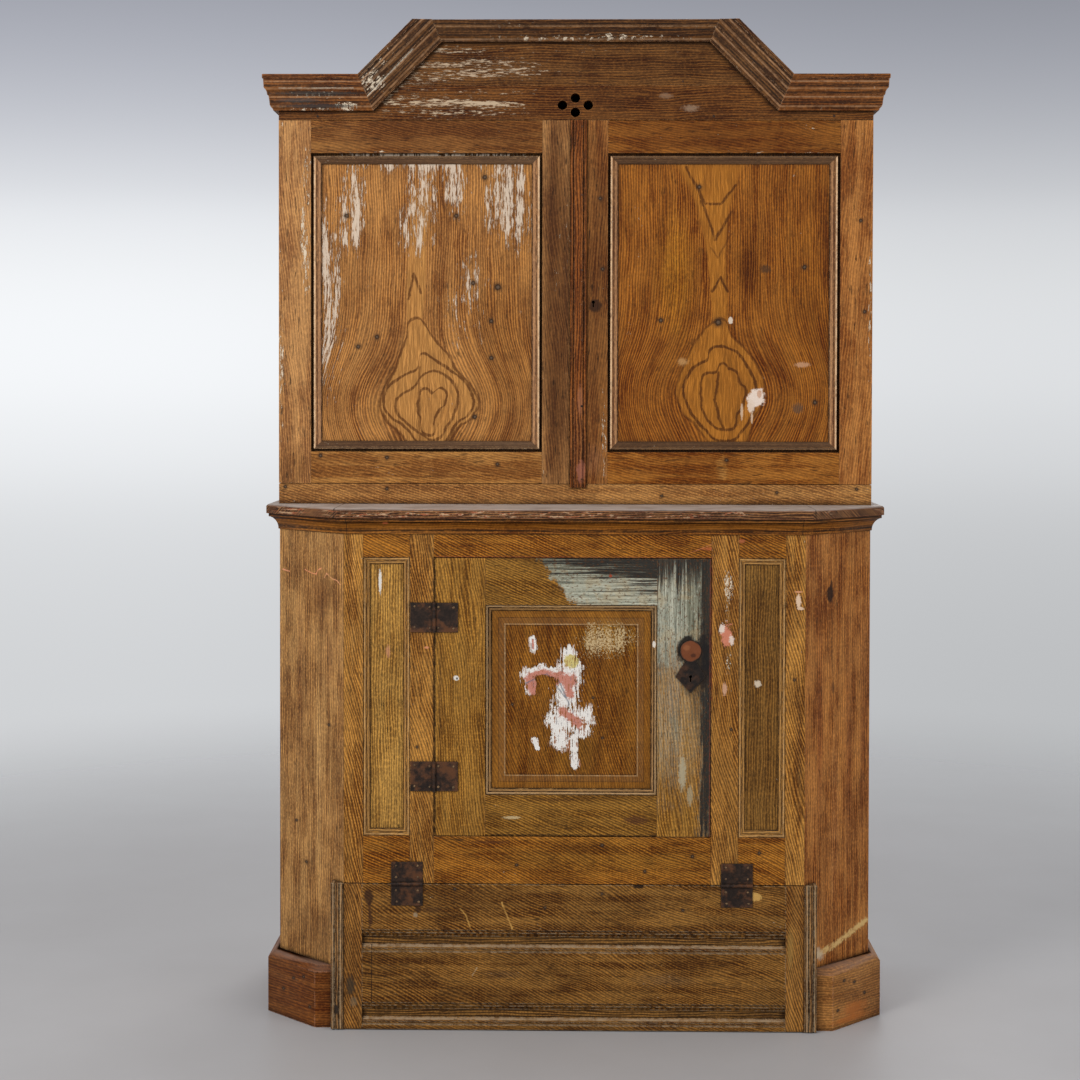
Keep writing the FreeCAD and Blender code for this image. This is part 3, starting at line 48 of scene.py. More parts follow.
class Field:
    # a value that changes over the surface; sums with it become Math nodes in the current tree
    def __init__(self, socket):
        self.socket = socket

    def __add__(self, other):
        return calc("ADD", self, other)

    def __sub__(self, other):
        return calc("SUBTRACT", self, other)

    def __rsub__(self, other):
        return calc("SUBTRACT", other, self)

    def __mul__(self, other):
        return calc("MULTIPLY", self, other)

    def __truediv__(self, other):
        return calc("DIVIDE", self, other)

    def __rpow__(self, other):
        return calc("POWER", other, self)

    def __abs__(self):
        return calc("ABSOLUTE", self)


def rgb(red, green, blue):
    # screen colour 0-255 to the linear colour that shaders use
    def linear(value):
        value = max(value, 0) / 255
        return value / 12.92 if value <= 0.04045 else ((value + 0.055) / 1.055) ** 2.4
    return (linear(red), linear(green), linear(blue), 1.0)


def shifted(tone, by=1.0, plus=(0, 0, 0)):
    # a screen colour made brighter or darker, as the colour that shaders use
    return rgb(*[part * by + step for part, step in zip(tone, plus)])


def give(socket, value):
    if isinstance(value, Field):
        current["tree"].links.new(value.socket, socket)
    elif value is not None:
        socket.default_value = value


def add(kind, inputs=None, **settings):
    node = current["tree"].nodes.new("ShaderNode" + kind)
    for name, value in settings.items():
        setattr(node, name, value)
    for name, value in (inputs or {}).items():
        give(node.inputs[name], value)
    return node


def output(node, name=0):
    return Field(node.outputs[name])


def outputs(node):
    return {socket.name: Field(socket) for socket in node.outputs}


def calc(operation, *values, clamp=False):
    node = add("Math", operation=operation, use_clamp=clamp)
    for socket, value in zip(node.inputs, values):
        give(socket, value)
    return output(node)


def timesPlus(value, factor, extra, clamp=False):
    return calc("MULTIPLY_ADD", value, factor, extra, clamp=clamp)


def most(first, second):
    return second if first is None else calc("MAXIMUM", first, second)


def smooth(value, low, high, outLow=0.0, outHigh=1.0):
    settings = {"Value": value, "From Min": low, "From Max": high, "To Min": outLow, "To Max": outHigh}
    return output(add("MapRange", settings, interpolation_type="SMOOTHSTEP"))


def paintOver(factor, below, above, mode="MIX"):
    node = add("Mix", data_type="RGBA", blend_type=mode)
    for index, value in ((0, factor), (6, below), (7, above)):
        give(node.inputs[index], value)
    return output(node, 2)


def vector(x, y, z):
    return output(add("CombineXYZ", {"X": x, "Y": y, "Z": z}))


def split(place):
    return outputs(add("SeparateXYZ", {"Vector": place}))


def between(operation, *values):
    # a sum with whole vectors
    node = add("VectorMath", operation=operation)
    for socket, value in zip(node.inputs, values):
        give(socket, value)
    return output(node, "Value" if operation in ("DOT_PRODUCT", "LENGTH", "DISTANCE") else 0)


def noise(place, scale=1.0, detail=2.0, roughness=0.5):
    settings = {"Vector": place, "Scale": scale, "Detail": detail, "Roughness": roughness}
    return output(add("TexNoise", settings))


def curve(value, points):
    # points are (where, height), both from 0 to 1
    node = add("FloatCurve", {"Value": value})
    line = node.mapping.curves[0]
    line.points[0].location = points[0]
    line.points[1].location = points[-1]
    for where, height in points[1:-1]:
        line.points.new(where, height)
    node.mapping.update()
    return output(node)


def makeGroup(name, takes, fill):
    # fill turns the group's inputs into its outputs; an input without a starting value is a vector
    group = bpy.data.node_groups.new(name, "ShaderNodeTree")
    for label, value in takes.items():
        kind = "NodeSocketVector" if value is None else "NodeSocketFloat"
        socket = group.interface.new_socket(name=label, in_out="INPUT", socket_type=kind)
        if value is not None:
            socket.default_value = value
    current["tree"] = group
    made = fill(outputs(group.nodes.new("NodeGroupInput")))
    for label in made:
        group.interface.new_socket(name=label, in_out="OUTPUT", socket_type="NodeSocketFloat")
    end = group.nodes.new("NodeGroupOutput").inputs
    for label, value in made.items():
        give(end[label], value)
    return group


def use(group, **inputs):
    node = add("Group", node_tree=group)
    for name, value in inputs.items():
        give(node.inputs[name], value)
    return outputs(node)


def newMaterial(name):
    material = bpy.data.materials.new(name)
    material.use_nodes = True
    current["tree"] = material.node_tree
    material.node_tree.nodes.clear()
    return material


def finishMaterial(colour, roughness, height, bump, distance, metallic=0.0, specular=0.5):
    shader = add("BsdfPrincipled", {"Base Color": colour, "Roughness": roughness, "Metallic": metallic,
                                    "Specular IOR Level": specular})
    give(shader.inputs["Normal"],
         output(add("Bump", {"Strength": bump, "Distance": distance, "Height": height})))
    add("OutputMaterial", {"Surface": output(shader)})


def wear(names, material):
    for name in names:
        nodes[name].data.materials.clear()
        nodes[name].data.materials.append(material)


# effects that several materials share

wholeTurn = 6.2832  # in radians


def combGrain(start):
    # a comb drawn through wet glaze: pale furrows, dark strokes between them, broad streaks below both
    across, along, seed = start["Across"], start["Along"], start["Seed"]

    def speckle(wide, tall, shift, detail, roughness=0.5):
        return noise(vector(wide, tall, seed + shift if shift else seed), 1, detail, roughness)
    loose = speckle(across * 6, along * 3.2, 0, 2) - 0.5
    swayed = timesPlus(loose, 0.008, across)
    drawn = timesPlus(along, start["Slant"], timesPlus(loose, start["Wander"], across))
    turns = drawn / start["Pitch"]
    jitter = speckle(turns * 0.31, along * 8, 7, 3)
    furrow = calc("SINE", timesPlus(jitter, 2.2, turns) * wholeTurn)
    patch = smooth(speckle(across * 19, along * 6, 2, 3), 0.40, 0.58)
    broken = smooth(speckle(turns, along * 16, 5, 2), 0.32, 0.50)
    crossing = calc("SINE", timesPlus(loose, 0.01, along) * 980)
    dotted = 1.0 - start["Weave"] * smooth(crossing, 0.5, -0.5)
    comb = smooth(furrow, 0.0, 0.6) * broken
    comb = comb * dotted * timesPlus(patch, 0.6, 0.4)
    stroke = smooth(furrow, 0.0, -0.6) * timesPlus(patch, -0.4, 1.0)
    ticks = smooth(speckle(swayed * 330, along * 34, 0, 1), 0.62, 0.72)
    return {"Comb": comb, "Stroke": stroke,
            "Streak": smooth(speckle(swayed * 46, along * 2.6, 9, 6, 0.68), 0.34, 0.66), "Ticks": ticks,
            "Mottle": smooth(speckle(across * 11, along * 7, 6, 6, 0.7), 0.32, 0.68),
            "Grit": smooth(speckle(across * 290, along * 150, 8, 2, 0.6), 0.36, 0.64),
            "Height": timesPlus(ticks, 0.5, timesPlus(stroke, -0.6, comb))}


def flecks(start):
    # flecks where paint has come off, in chains along the grain; Cover says how much is gone
    across, along, seed = start["Across"], start["Along"], start["Seed"]
    stretch = along / start["Grain"]
    small = noise(vector(across * 250, stretch * 250, seed), 1, 5, 0.75)
    chain = noise(vector(across * 70, along * 4, seed + 5), 1, 3, 0.6)
    wide = noise(vector(across * 17, stretch * 17, seed + 9), 1, 4, 0.6)
    level = timesPlus(chain, start["Strung"], wide * 0.20)
    level = timesPlus(small, 0.8 - start["Strung"], level)
    edge = timesPlus(start["Cover"], -0.2, 0.672)
    mask = smooth(level, edge, edge + 0.045) * 0.9
    return {"Mask": mask, "Rim": calc("SUBTRACT", smooth(level, edge - 0.022, edge), mask, clamp=True)}


def outsideEdge(start):
    # how close a point is to a worn outside edge
    rounded = output(add("Bevel", {"Radius": start["Width"]}, samples=4))
    plain = output(add("NewGeometry"), "Normal")
    return {"Mask": smooth(between("DOT_PRODUCT", rounded, plain), 0.997, 0.90)}


def corner(start):
    # painted shade: a mask that is strong where faces meet, in corners and creases, for darkening the colour
    # there
    free = add("AmbientOcclusion", {"Distance": start["Reach"]}, samples=6)
    return {"Mask": smooth(output(free, "AO"), 0.94, 0.36)}


def raggedSpot(start):
    # one ragged spot at a place on the front
    offset = between("SUBTRACT", start["Place"], start["Middle"])
    far = between("LENGTH", between("MULTIPLY", offset, start["Size"]))
    rough = noise(start["Place"], start["Grit"], 4, 0.7)
    return {"Mask": smooth(timesPlus(rough - 0.5, start["Ragged"], far), 1.0, 1.0 - start["Soft"])}


def filledHole(start):
    # a filled nail hole: a smudge, a dark ring and a greyer middle
    flat = between("MULTIPLY", start["Place"], (1, 0, 1))
    far = between("DISTANCE", flat, start["Middle"]) / start["Size"]
    rough = noise(start["Place"], 210, 4, 0.7) - 0.5
    return {name: smooth(timesPlus(rough, ragged, far), outer, inner) for name, ragged, outer, inner in
            (("Smudge", 1.6, 2.1, 0.6), ("Ring", 0.8, 1.15, 0.6), ("Heart", 0.5, 0.6, 0.25))}


def brushedLine(start):
    # a brushed or cracked line between two places on the front
    flat = between("MULTIPLY", start["Place"], (1, 0, 1))
    run = between("SUBTRACT", start["To"], start["From"])
    offset = between("SUBTRACT", flat, start["From"])
    share = calc("DIVIDE", between("DOT_PRODUCT", offset, run), between("DOT_PRODUCT", run, run), clamp=True)
    reached = add("VectorMath", {"Scale": share}, operation="SCALE")
    give(reached.inputs[0], run)
    width = start["Width"]
    away = timesPlus(start["Rough"], width, between("DISTANCE", offset, output(reached)))
    return {"Mask": smooth(away, width, width * 0.35), "Away": away}


def mitredSpace(start):
    # directions across and along the four mitred lengths of a moulding
    inX = start["Half X"] - abs(start["X"] - start["Middle X"])
    inZ = start["Half Z"] - abs(start["Z"] - start["Middle Z"])
    upright = calc("LESS_THAN", inX, inZ)
    level = 1.0 - upright
    return {"Across": calc("MINIMUM", inX, inZ), "Along": start["Z"] * upright + start["X"] * level,
            "Level": level}


combedGrain = makeGroup("Combed grain", {"Across": 0.0, "Along": 0.0, "Seed": 0.0, "Pitch": 0.0056,
                                         "Wander": 0.006, "Slant": 0.0, "Weave": 0.0}, combGrain)
paintLoss = makeGroup("Paint loss", {"Across": 0.0, "Along": 0.0, "Seed": 0.0, "Cover": 0.1, "Grain": 2.0,
                                     "Strung": 0.18}, flecks)
wornArris = makeGroup("Worn arris", {"Width": 0.003}, outsideEdge)
# painted shade where faces meet, from ambient occlusion
creviceShade = makeGroup("Crevice shade", {"Reach": 0.02}, corner)
blot = makeGroup("Blot", {"Place": None, "Middle": None, "Size": None, "Soft": 0.3, "Ragged": 0.3,
                          "Grit": 90.0}, raggedSpot)
knot = makeGroup("Knot", {"Place": None, "Middle": None, "Size": 0.0055}, filledHole)
drawnLine = makeGroup("Drawn line", {"Place": None, "From": None, "To": None, "Width": 0.002, "Rough": 0.0},
                      brushedLine)
frameSpace = makeGroup("Frame space", {"X": 0.0, "Z": 0.0, "Middle X": 0.0, "Middle Z": 0.0, "Half X": 0.1,
                                       "Half Z": 0.1}, mitredSpace)
print("shared effects made")


# painted wood

# directions across the grain, along it and across the stripes of a moulding
spaces = {
    "upright": ((1, 1, 0), (0, 0, 1), (1, 0, 0)),
    "leftCant": ((0.7071, -0.7071, 0), (0, 0, 1), (1, 0, 0)),
    "rightCant": ((0.7071, 0.7071, 0), (0, 0, 1), (1, 0, 0)),
    "level": ((0, 1, 1), (1, 0, 0), (0, 0, 1)),
    "around": ((0, 0, 1), (1, 0.37, 0), (0, 0, 1)),
    "deep": ((1, 0, 1), (0, 1, 0), (0, 0, 1)),
    "rake": ((0.7071, 1, 0.7071), (-0.7071, 0, 0.7071), (0.7071, 0, 0.7071)),
}

paintDefaults = {
    "space": "upright", "mean": (128, 86, 40), "spread": 1.0, "seed": 0.0, "pitch": 0.0056, "wander": 0.02,
    "slant": 0.0, "weave": 0.0, "pale": 0.8, "dark": 0.8, "ticks": 0.7, "broad": 1.0, "grit": 0.3,
    # the next line starts with the strength of the painted shade in corners and creases, then how far that
    # shade reaches
    "grime": 0.9, "reach": 0.012, "wear": 0.6, "wearWidth": 0.002, "wearColour": (186, 134, 84),
    "loss": 0.12, "lossGrain": 2.0, "strung": 0.18, "lossColour": (222, 204, 178), "lossSpots": [],
    "blots": [], "nails": [], "nailSize": 5.5, "lines": [], "bands": [], "levelShade": 0.0, "mirrored": False,
    "rough": 0.5, "bump": 0.3, "sideBoard": False, "frame": None, "bend": None, "paint": None,
}

shadeSoftness = 0.7  # a blot softer than this is a shade of the glaze, below the losses
paintDepth, paintShine = 0.0009, 0.12  # the relief's distance in metres, and the specular level
holeTones = {"Smudge": ((62, 42, 26), 0.6), "Ring": ((38, 26, 18), 0.85), "Heart": ((112, 92, 74), 0.6)}
# the colour of the painted shade in corners and creases, then the dark rim round paint losses
paintedShadeTone, rimTone = rgb(26, 16, 9), rgb(52, 30, 12)
# bare wood, light and dark, and the colour of the painted shade in its corners
bareTones = {"light": rgb(164, 130, 90), "dark": rgb(112, 84, 54), "paintedShade": rgb(48, 34, 22)}


def onFront(x, z):
    # a place on the front, from millimetres
    return (x / 1000, 0, z / 1000)


def blotMask(place, x, z, wide, tall, soft, ragged, grit):
    return use(blot, Place=place, Middle=onFront(x, z), Size=(1000 / wide, 0, 1000 / tall), Soft=soft,
               Ragged=ragged, Grit=grit)["Mask"]


def spots(place, entries, below, shadeFrom=None):
    # entries are (x, z, half width, half height, soft, ragged, colour, strength), in millimetres;
    # with shadeFrom they tint what is below as that ground colour would turn into theirs
    for x, z, wide, tall, soft, ragged, tone, strength in entries:
        mask = blotMask(place, x, z, wide, tall, soft, ragged, min(1980 / min(wide, tall), 420.0)) * strength
        if shadeFrom:
            ratio = tuple(part / max(ground, 0.01) for part, ground in zip(rgb(*tone), shadeFrom))
            below = paintOver(mask, below, ratio, "MULTIPLY")
        else:
            below = paintOver(mask, below, rgb(*tone))
    return below


def nailMarks(place, entries, size, below):
    # filled nail holes and knots; entries are (x, z) or (x, z, size), in millimetres
    for x, z, *own in entries:
        marks = use(knot, Place=place, Middle=onFront(x, z), Size=(own[0] if own else size) / 1000)
        for name, (tone, strength) in holeTones.items():
            below = paintOver(marks[name] * strength, below, rgb(*tone))
    return below


def lineMask(place, points, width, rough=0.0):
    # a line through points, in millimetres
    mask = None
    for first, second in zip(points, points[1:]):
        mask = most(mask, use(drawnLine, Place=place, From=onFront(*first), To=onFront(*second),
                              Width=width / 1000, Rough=rough)["Mask"])
    return mask


def coverOf(place, base, entries):
    # how much paint is lost: a little everywhere, more at the listed places
    cover = None
    for x, z, wide, tall, amount in entries:
        cover = most(cover, blotMask(place, x, z, wide, tall, 0.8, 0.5, 14.0) * amount)
    return base if cover is None else most(cover, base)


def striped(place, edge, level, look, colour):
    # painted shade in a moulding's quirks and painted highlights on its beads, as (where, half width, colour,
    # strength), in millimetres
    patchy = noise(place, 60, 5, 0.75)
    wavering = timesPlus(patchy, 0.002, -0.001)
    for at, width, tone, strength in look["bands"]:
        mask = smooth(abs(edge - at / 1000 + wavering), width / 1000, width * 0.0004)
        mask = mask * smooth(patchy, 0.36, 0.58, strength * 0.35, strength)
        # on the level lengths, which are painted in shade, the stripes are fainter
        if look["levelShade"]:
            mask = mask * timesPlus(level, -0.65, 1.0)
        colour = paintOver(mask, colour, rgb(*tone))
    return colour


# from a glaze's mean colour to its parts: how much brighter, and what is added to red, green and blue
glaze = {"light": (24, 23, 16), "dark": (-30, -27, -18), "line": (0.34,), "comb": (1.25, (58, 48, 26)),
         "darkGrit": (0.55,), "lightGrit": (1.2, (50, 42, 24))}


def grained(grain, look):
    # the combed glaze itself, round its mean colour
    mean, spread = look["mean"], look["spread"]
    light, dark = [shifted(mean, 1, [step * spread for step in glaze[name]]) for name in ("light", "dark")]
    line = shifted(mean, *glaze["line"])
    tone = timesPlus(grain["Streak"], 0.55, grain["Mottle"] * 0.45)
    tone = timesPlus(tone - 0.5, look["broad"] * 1.4, 0.5, clamp=True)
    colour = paintOver(tone, light, dark)
    colour = paintOver(grain["Stroke"] * look["dark"], colour, line)
    colour = paintOver(grain["Comb"] * look["pale"], colour, shifted(mean, *glaze["comb"]))
    colour = paintOver(grain["Ticks"] * look["ticks"], colour, line)
    colour = paintOver(grain["Grit"] * look["grit"], colour, shifted(mean, *glaze["darkGrit"]))
    bright = smooth(grain["Grit"], 0.3, 0.0) * (look["grit"] * 0.6)
    return paintOver(bright, colour, shifted(mean, *glaze["lightGrit"]))


def bareInside(place, parts, grain, paintedShade, sideBoard, colour, rough, height):
    # faces turned to the back, and the inner faces of side boards, are bare wood
    facing = split(output(add("TexCoord"), "Normal"))
    inner = smooth(facing["Y"], 0.4, 0.6)
    if sideBoard:
        inner = most(inner, smooth(facing["X"] * calc("SIGN", parts["X"]), -0.4, -0.6))
    bare = paintOver(grain["Streak"] * 0.7, bareTones["light"], bareTones["dark"])
    # painted shade where faces meet, on the bare wood
    bare = paintOver(paintedShade * 0.6, bare, bareTones["paintedShade"])
    height = timesPlus(noise(place, 16, 3), 1.2, height * (1.0 - inner))
    return paintOver(inner, colour, bare), most(rough, inner * 0.7), height


def paintedWood(name, nodeNames, **changes):
    look = dict(paintDefaults, **changes)
    material = newMaterial(name)
    place = output(add("TexCoord"), "Object")
    parts = split(place)
    level = None
    if look["frame"]:
        middleX, middleZ, halfX, halfZ, mirrored = look["frame"]
        sideX = abs(parts["X"]) if mirrored else parts["X"]
        made = use(frameSpace, **{"X": sideX, "Z": parts["Z"], "Middle X": middleX / 1000,
                                  "Middle Z": middleZ / 1000, "Half X": halfX / 1000, "Half Z": halfZ / 1000})
        edge, along, level = made["Across"], made["Along"], made["Level"]
        across = edge + parts["Y"]
    else:
        directions = spaces[look["space"]]
        source = place
        if look["space"] == "rake" or look["mirrored"]:
            source = vector(abs(parts["X"]), parts["Y"], parts["Z"])
        across, along = [between("DOT_PRODUCT", source, way) for way in directions[:2]]
        edge = between("DOT_PRODUCT", source, directions[2]) if look["bands"] else None

    base = {"place": place, "parts": parts, "across": across, "along": along, "look": look}
    if look["bend"]:
        across = base["across"] = look["bend"](base)
    grain = use(combedGrain, Across=across, Along=along, Seed=look["seed"], Pitch=look["pitch"],
                Wander=look["wander"], Slant=look["slant"], Weave=look["weave"])
    colour = grained(grain, look)
    shades = [entry for entry in look["blots"] if entry[4] > shadeSoftness]
    colour = spots(place, shades, colour, rgb(*look["mean"]))
    if look["bands"]:
        colour = striped(place, edge, level, look, colour)
    # painted shade: the level lengths of a moulding are darkened, as the light falls from the sides
    if look["levelShade"]:
        colour = paintOver(level * look["levelShade"], colour, shifted(look["mean"], 0.4))
    height = grain["Height"] * -0.4
    if look["paint"]:
        colour, height = look["paint"](base, grain, colour, height)

    # painted shade: the colour darkens where faces meet, in corners and creases
    paintedShade = use(creviceShade, Reach=look["reach"])["Mask"]
    colour = paintOver(paintedShade * look["grime"], colour, paintedShadeTone)
    worn = use(wornArris, Width=look["wearWidth"])["Mask"]
    patchy = smooth(noise(place, 120, 4, 0.75), 0.42, 0.58)
    colour = paintOver(worn * patchy * look["wear"], colour, rgb(*look["wearColour"]))
    lost = use(paintLoss, Across=across, Along=along, Seed=look["seed"] + 3, Grain=look["lossGrain"],
               Cover=coverOf(place, look["loss"], look["lossSpots"]), Strung=look["strung"])
    colour = paintOver(lost["Rim"] * 0.4, colour, rimTone)
    colour = paintOver(lost["Mask"], colour, rgb(*look["lossColour"]))
    colour = spots(place, [entry for entry in look["blots"] if entry[4] <= shadeSoftness], colour)
    colour = nailMarks(place, look["nails"], look["nailSize"], colour)
    if look["lines"]:
        uneven = timesPlus(noise(place, 150, 3, 0.7), 2.4, -1.2)
        rubbed = smooth(noise(place, 44, 5, 0.75), 0.36, 0.54, 0.3, 1.0)
    for points, width, tone, strength in look["lines"]:
        mask = lineMask(place, points, width, uneven) * rubbed
        colour = paintOver(mask * strength, colour, rgb(*tone))

    rough = timesPlus(grain["Mottle"], 0.14, look["rough"])
    rough = timesPlus(lost["Mask"], 0.25, rough)
    rough = timesPlus(paintedShade, 0.2, rough, clamp=True)
    height = timesPlus(lost["Mask"], -0.8, height)
    colour, rough, height = bareInside(place, parts, grain, paintedShade, look["sideBoard"], colour, rough, height)
    finishMaterial(colour, rough, height, look["bump"], paintDepth, specular=paintShine)
    wear(nodeNames, material)


# upper stage

def closedCurve(points, focus):
    # a closed outline as a curve of its distance from the focus, by share of a whole turn
    focusX, focusZ = focus
    polar = sorted((math.atan2(z - focusZ, x - focusX) / (2 * math.pi) % 1.0,
                    math.hypot(x - focusX, z - focusZ)) for x, z in points)
    farthest = max(radius for turned, radius in polar)
    first, last = polar[0], polar[-1]
    seam = first[1] + (last[1] - first[1]) * first[0] / (first[0] + 1 - last[0])
    steps = [(turned, radius / farthest) for turned, radius in [(0.0, seam)] + polar + [(1.0, seam)]]
    return steps, farthest / 1000


# how strongly the grain bends round the bulb, and how fast that fades upward and aside
figureBend = {"pull": -0.72, "base": 2.718, "upward": -75, "aside": -26}


def onionFigure(look):
    # a drawn figure: a pale bulb with rings inside it and a pale tail running up from it, all in millimetres
    focusX, focusZ = look["focus"]

    def bend(base):
        parts = base["parts"]
        aside = parts["X"] - focusX / 1000
        above = parts["Z"] - focusZ / 1000
        nearZ = figureBend["base"] ** (above * above * figureBend["upward"])
        nearX = figureBend["base"] ** (aside * aside * figureBend["aside"])
        return aside * timesPlus(nearX * nearZ, figureBend["pull"], 1.0)

    def paint(base, grain, colour, height):
        parts = base["parts"]
        warp = output(add("TexNoise", {"Vector": base["place"], "Scale": 34.0, "Detail": 3.0}), "Color")
        place = between("MULTIPLY_ADD", warp, (0.009, 0, 0.009), base["place"])
        place = between("SUBTRACT", place, (0.0045, 0, 0.0045))
        placed = split(place)
        aside = placed["X"] - focusX / 1000
        above = placed["Z"] - focusZ / 1000
        turn = calc("FRACT", calc("ARCTAN2", above, aside) / (2 * math.pi))
        span = calc("SQRT", timesPlus(aside, aside, above * above))
        rough = timesPlus(noise(base["place"], 150, 3, 0.7), 1.4, -0.7)

        def reachOf(points):
            steps, farthest = closedCurve(points, look["focus"])
            return curve(turn, steps) * farthest
        inside = smooth(span / reachOf(look["outline"]), 1.02, 0.97)

        tail = look["tail"]
        low, high = tail["low"], tail["high"]
        level = (parts["Z"] - low / 1000) / ((high - low) / 1000)
        middle = timesPlus(level, (tail["to"] - tail["from"]) / 1000, tail["from"] / 1000)
        half = curve(level, tail["half"]) * 0.1
        off = abs(placed["X"] - middle) / half
        within = smooth(level, -0.02, 0.05) * smooth(level, 1.0, tail["fade"])
        pale = most(inside, smooth(off, 1.15, 0.85) * within)
        streaky = smooth(grain["Streak"], 1.0, 0.2, 0.62, 0.92)
        colour = paintOver(pale * streaky, colour, rgb(*look["fill"]))
        hair = noise(vector(placed["X"] * 420, placed["Z"] * 18, 4.0), 1, 2)
        colour = paintOver(smooth(hair, 0.52, 0.62) * pale * 0.4, colour,
                           shifted(look["fill"], 1.25, (14, 14, 14)))
        colour = paintOver(smooth(hair, 0.48, 0.38) * pale * 0.4, colour, shifted(look["fill"], 0.62))

        drawn = None
        for points, width, strength in look["rings"]:
            away = timesPlus(rough, width * 0.0014, abs(span - reachOf(points)))
            drawn = most(drawn, smooth(away, width * 0.0014, width * 0.0006) * strength)
        for points, width, strength in look["strokes"]:
            drawn = most(drawn, lineMask(place, points, width * 1.3, rough) * strength)
        drawn = drawn * smooth(hair, 0.68, 0.52, 0.5, 1.0)
        return paintOver(drawn, colour, rgb(*look["ringTone"])), timesPlus(drawn, -0.5, height)
    return {"bend": bend, "paint": paint}


leftOutline = [(-347, 1509), (-331, 1498), (-307, 1463), (-277, 1428), (-249, 1385), (-222, 1354),
               (-209, 1319), (-229, 1289), (-262, 1262), (-290, 1228), (-353, 1228), (-384, 1258),
               (-412, 1286), (-424, 1315), (-420, 1337), (-399, 1382), (-382, 1430), (-366, 1470)]
leftFigure = onionFigure({
    "focus": (-327, 1317), "fill": (176, 122, 62), "ringTone": (84, 46, 16), "outline": leftOutline,
    "tail": {"low": 1495, "high": 1800, "from": -350, "to": -338, "fade": 0.86,
             "half": [(0, 0.13), (0.25, 0.20), (0.6, 0.17), (1, 0.24)]},
    "rings": [(leftOutline, 3.2, 0.75),
              ([(-334, 1430), (-316, 1424), (-281, 1402), (-242, 1371), (-225, 1345), (-221, 1319),
                (-233, 1297), (-264, 1271), (-290, 1234), (-338, 1234), (-368, 1267), (-403, 1293),
                (-417, 1319), (-412, 1350), (-386, 1376), (-360, 1389), (-342, 1402)], 3.0, 0.85),
              ([(-325, 1387), (-294, 1391), (-268, 1371), (-255, 1345), (-259, 1310), (-281, 1271),
                (-299, 1245), (-334, 1254), (-364, 1276), (-386, 1297), (-390, 1324), (-379, 1339),
                (-351, 1358), (-338, 1376)], 3.0, 0.8),
              ([(-325, 1354), (-312, 1345), (-294, 1358), (-281, 1345), (-281, 1328), (-299, 1302),
                (-307, 1276), (-310, 1254), (-331, 1258), (-338, 1293), (-340, 1328)], 3.0, 0.85)],
    "strokes": [([(-364, 1552), (-351, 1603), (-336, 1563)], 3.2, 0.85),
                ([(-338, 1402), (-341, 1328), (-338, 1236)], 2.4, 0.6)],
})
rightOutline = [(318, 1507), (334, 1489), (342, 1470), (370, 1443), (400, 1400), (413, 1367), (410, 1330),
                (390, 1289), (360, 1228), (303, 1228), (266, 1273), (235, 1303), (222, 1339), (224, 1369),
                (240, 1413), (268, 1467), (299, 1498)]
rightFigure = onionFigure({
    "focus": (320, 1337), "fill": (160, 100, 32), "ringTone": (70, 34, 8), "outline": rightOutline,
    "tail": {"low": 1490, "high": 1864, "from": 318, "to": 292, "fade": 0.96,
             "half": [(0, 0.16), (0.35, 0.19), (0.45, 0.22), (0.55, 0.25), (0.72, 0.37), (1, 0.92)]},
    "rings": [(rightOutline, 3.0, 0.55),
              ([(316, 1448), (340, 1441), (360, 1427), (376, 1406), (388, 1383), (392, 1330), (384, 1293),
                (363, 1262), (342, 1243), (310, 1243), (279, 1273), (252, 1306), (239, 1340), (239, 1367),
                (249, 1390), (266, 1406), (286, 1417), (292, 1437)], 3.3, 0.85),
              ([(323, 1412), (336, 1400), (350, 1393), (360, 1369), (373, 1356), (370, 1333), (356, 1300),
                (340, 1267), (316, 1267), (299, 1280), (279, 1306), (275, 1340), (276, 1374), (286, 1389),
                (305, 1391)], 3.0, 0.8)],
    "strokes": [([(312, 1391), (305, 1330), (323, 1268)], 3.4, 0.8),
                ([(275, 1764), (305, 1681), (340, 1740)], 3.6, 0.8),
                ([(296, 1661), (310, 1640), (340, 1692)], 2.4, 0.5),
                ([(242, 1836), (283, 1757), (316, 1757), (349, 1799)], 3.2, 0.8),
                ([(299, 1568), (318, 1598), (331, 1568)], 3.2, 0.85)],
})

paintedWood(
    "Left panel paint", ["upper_left_door_panel"], mean=(148, 95, 47), spread=1.1, broad=1.1, seed=1.0,
    wander=0.02, pale=0.45, dark=0.4, grit=0.2, loss=0.28, lossGrain=8.0, strung=0.3, rough=0.5,
    lossColour=(214, 194, 172), **leftFigure,
    lossSpots=[(-330, 1880, 420, 110, 1.0), (-490, 1740, 70, 230, 0.95), (-535, 1580, 60, 460, 0.9),
               (-345, 1740, 90, 220, 0.92), (-150, 1770, 110, 220, 0.88), (-230, 1540, 120, 240, 0.6),
               (-260, 1800, 70, 140, 0.85)],
    blots=[(-150, 1450, 120, 330, 0.95, 0.6, (132, 80, 32), 0.7),
           (-330, 1228, 260, 40, 0.9, 0.4, (110, 66, 26), 0.5),
           (-434, 1300, 30, 60, 0.9, 0.6, (126, 80, 36), 0.6)],
    nails=[(-498, 1731), (-259, 1731), (-197, 1815), (-222, 1585), (-432, 1467), (-473, 1446), (-182, 1502),
           (-182, 1422), (-218, 1293), (-168, 1576, 8.0)])
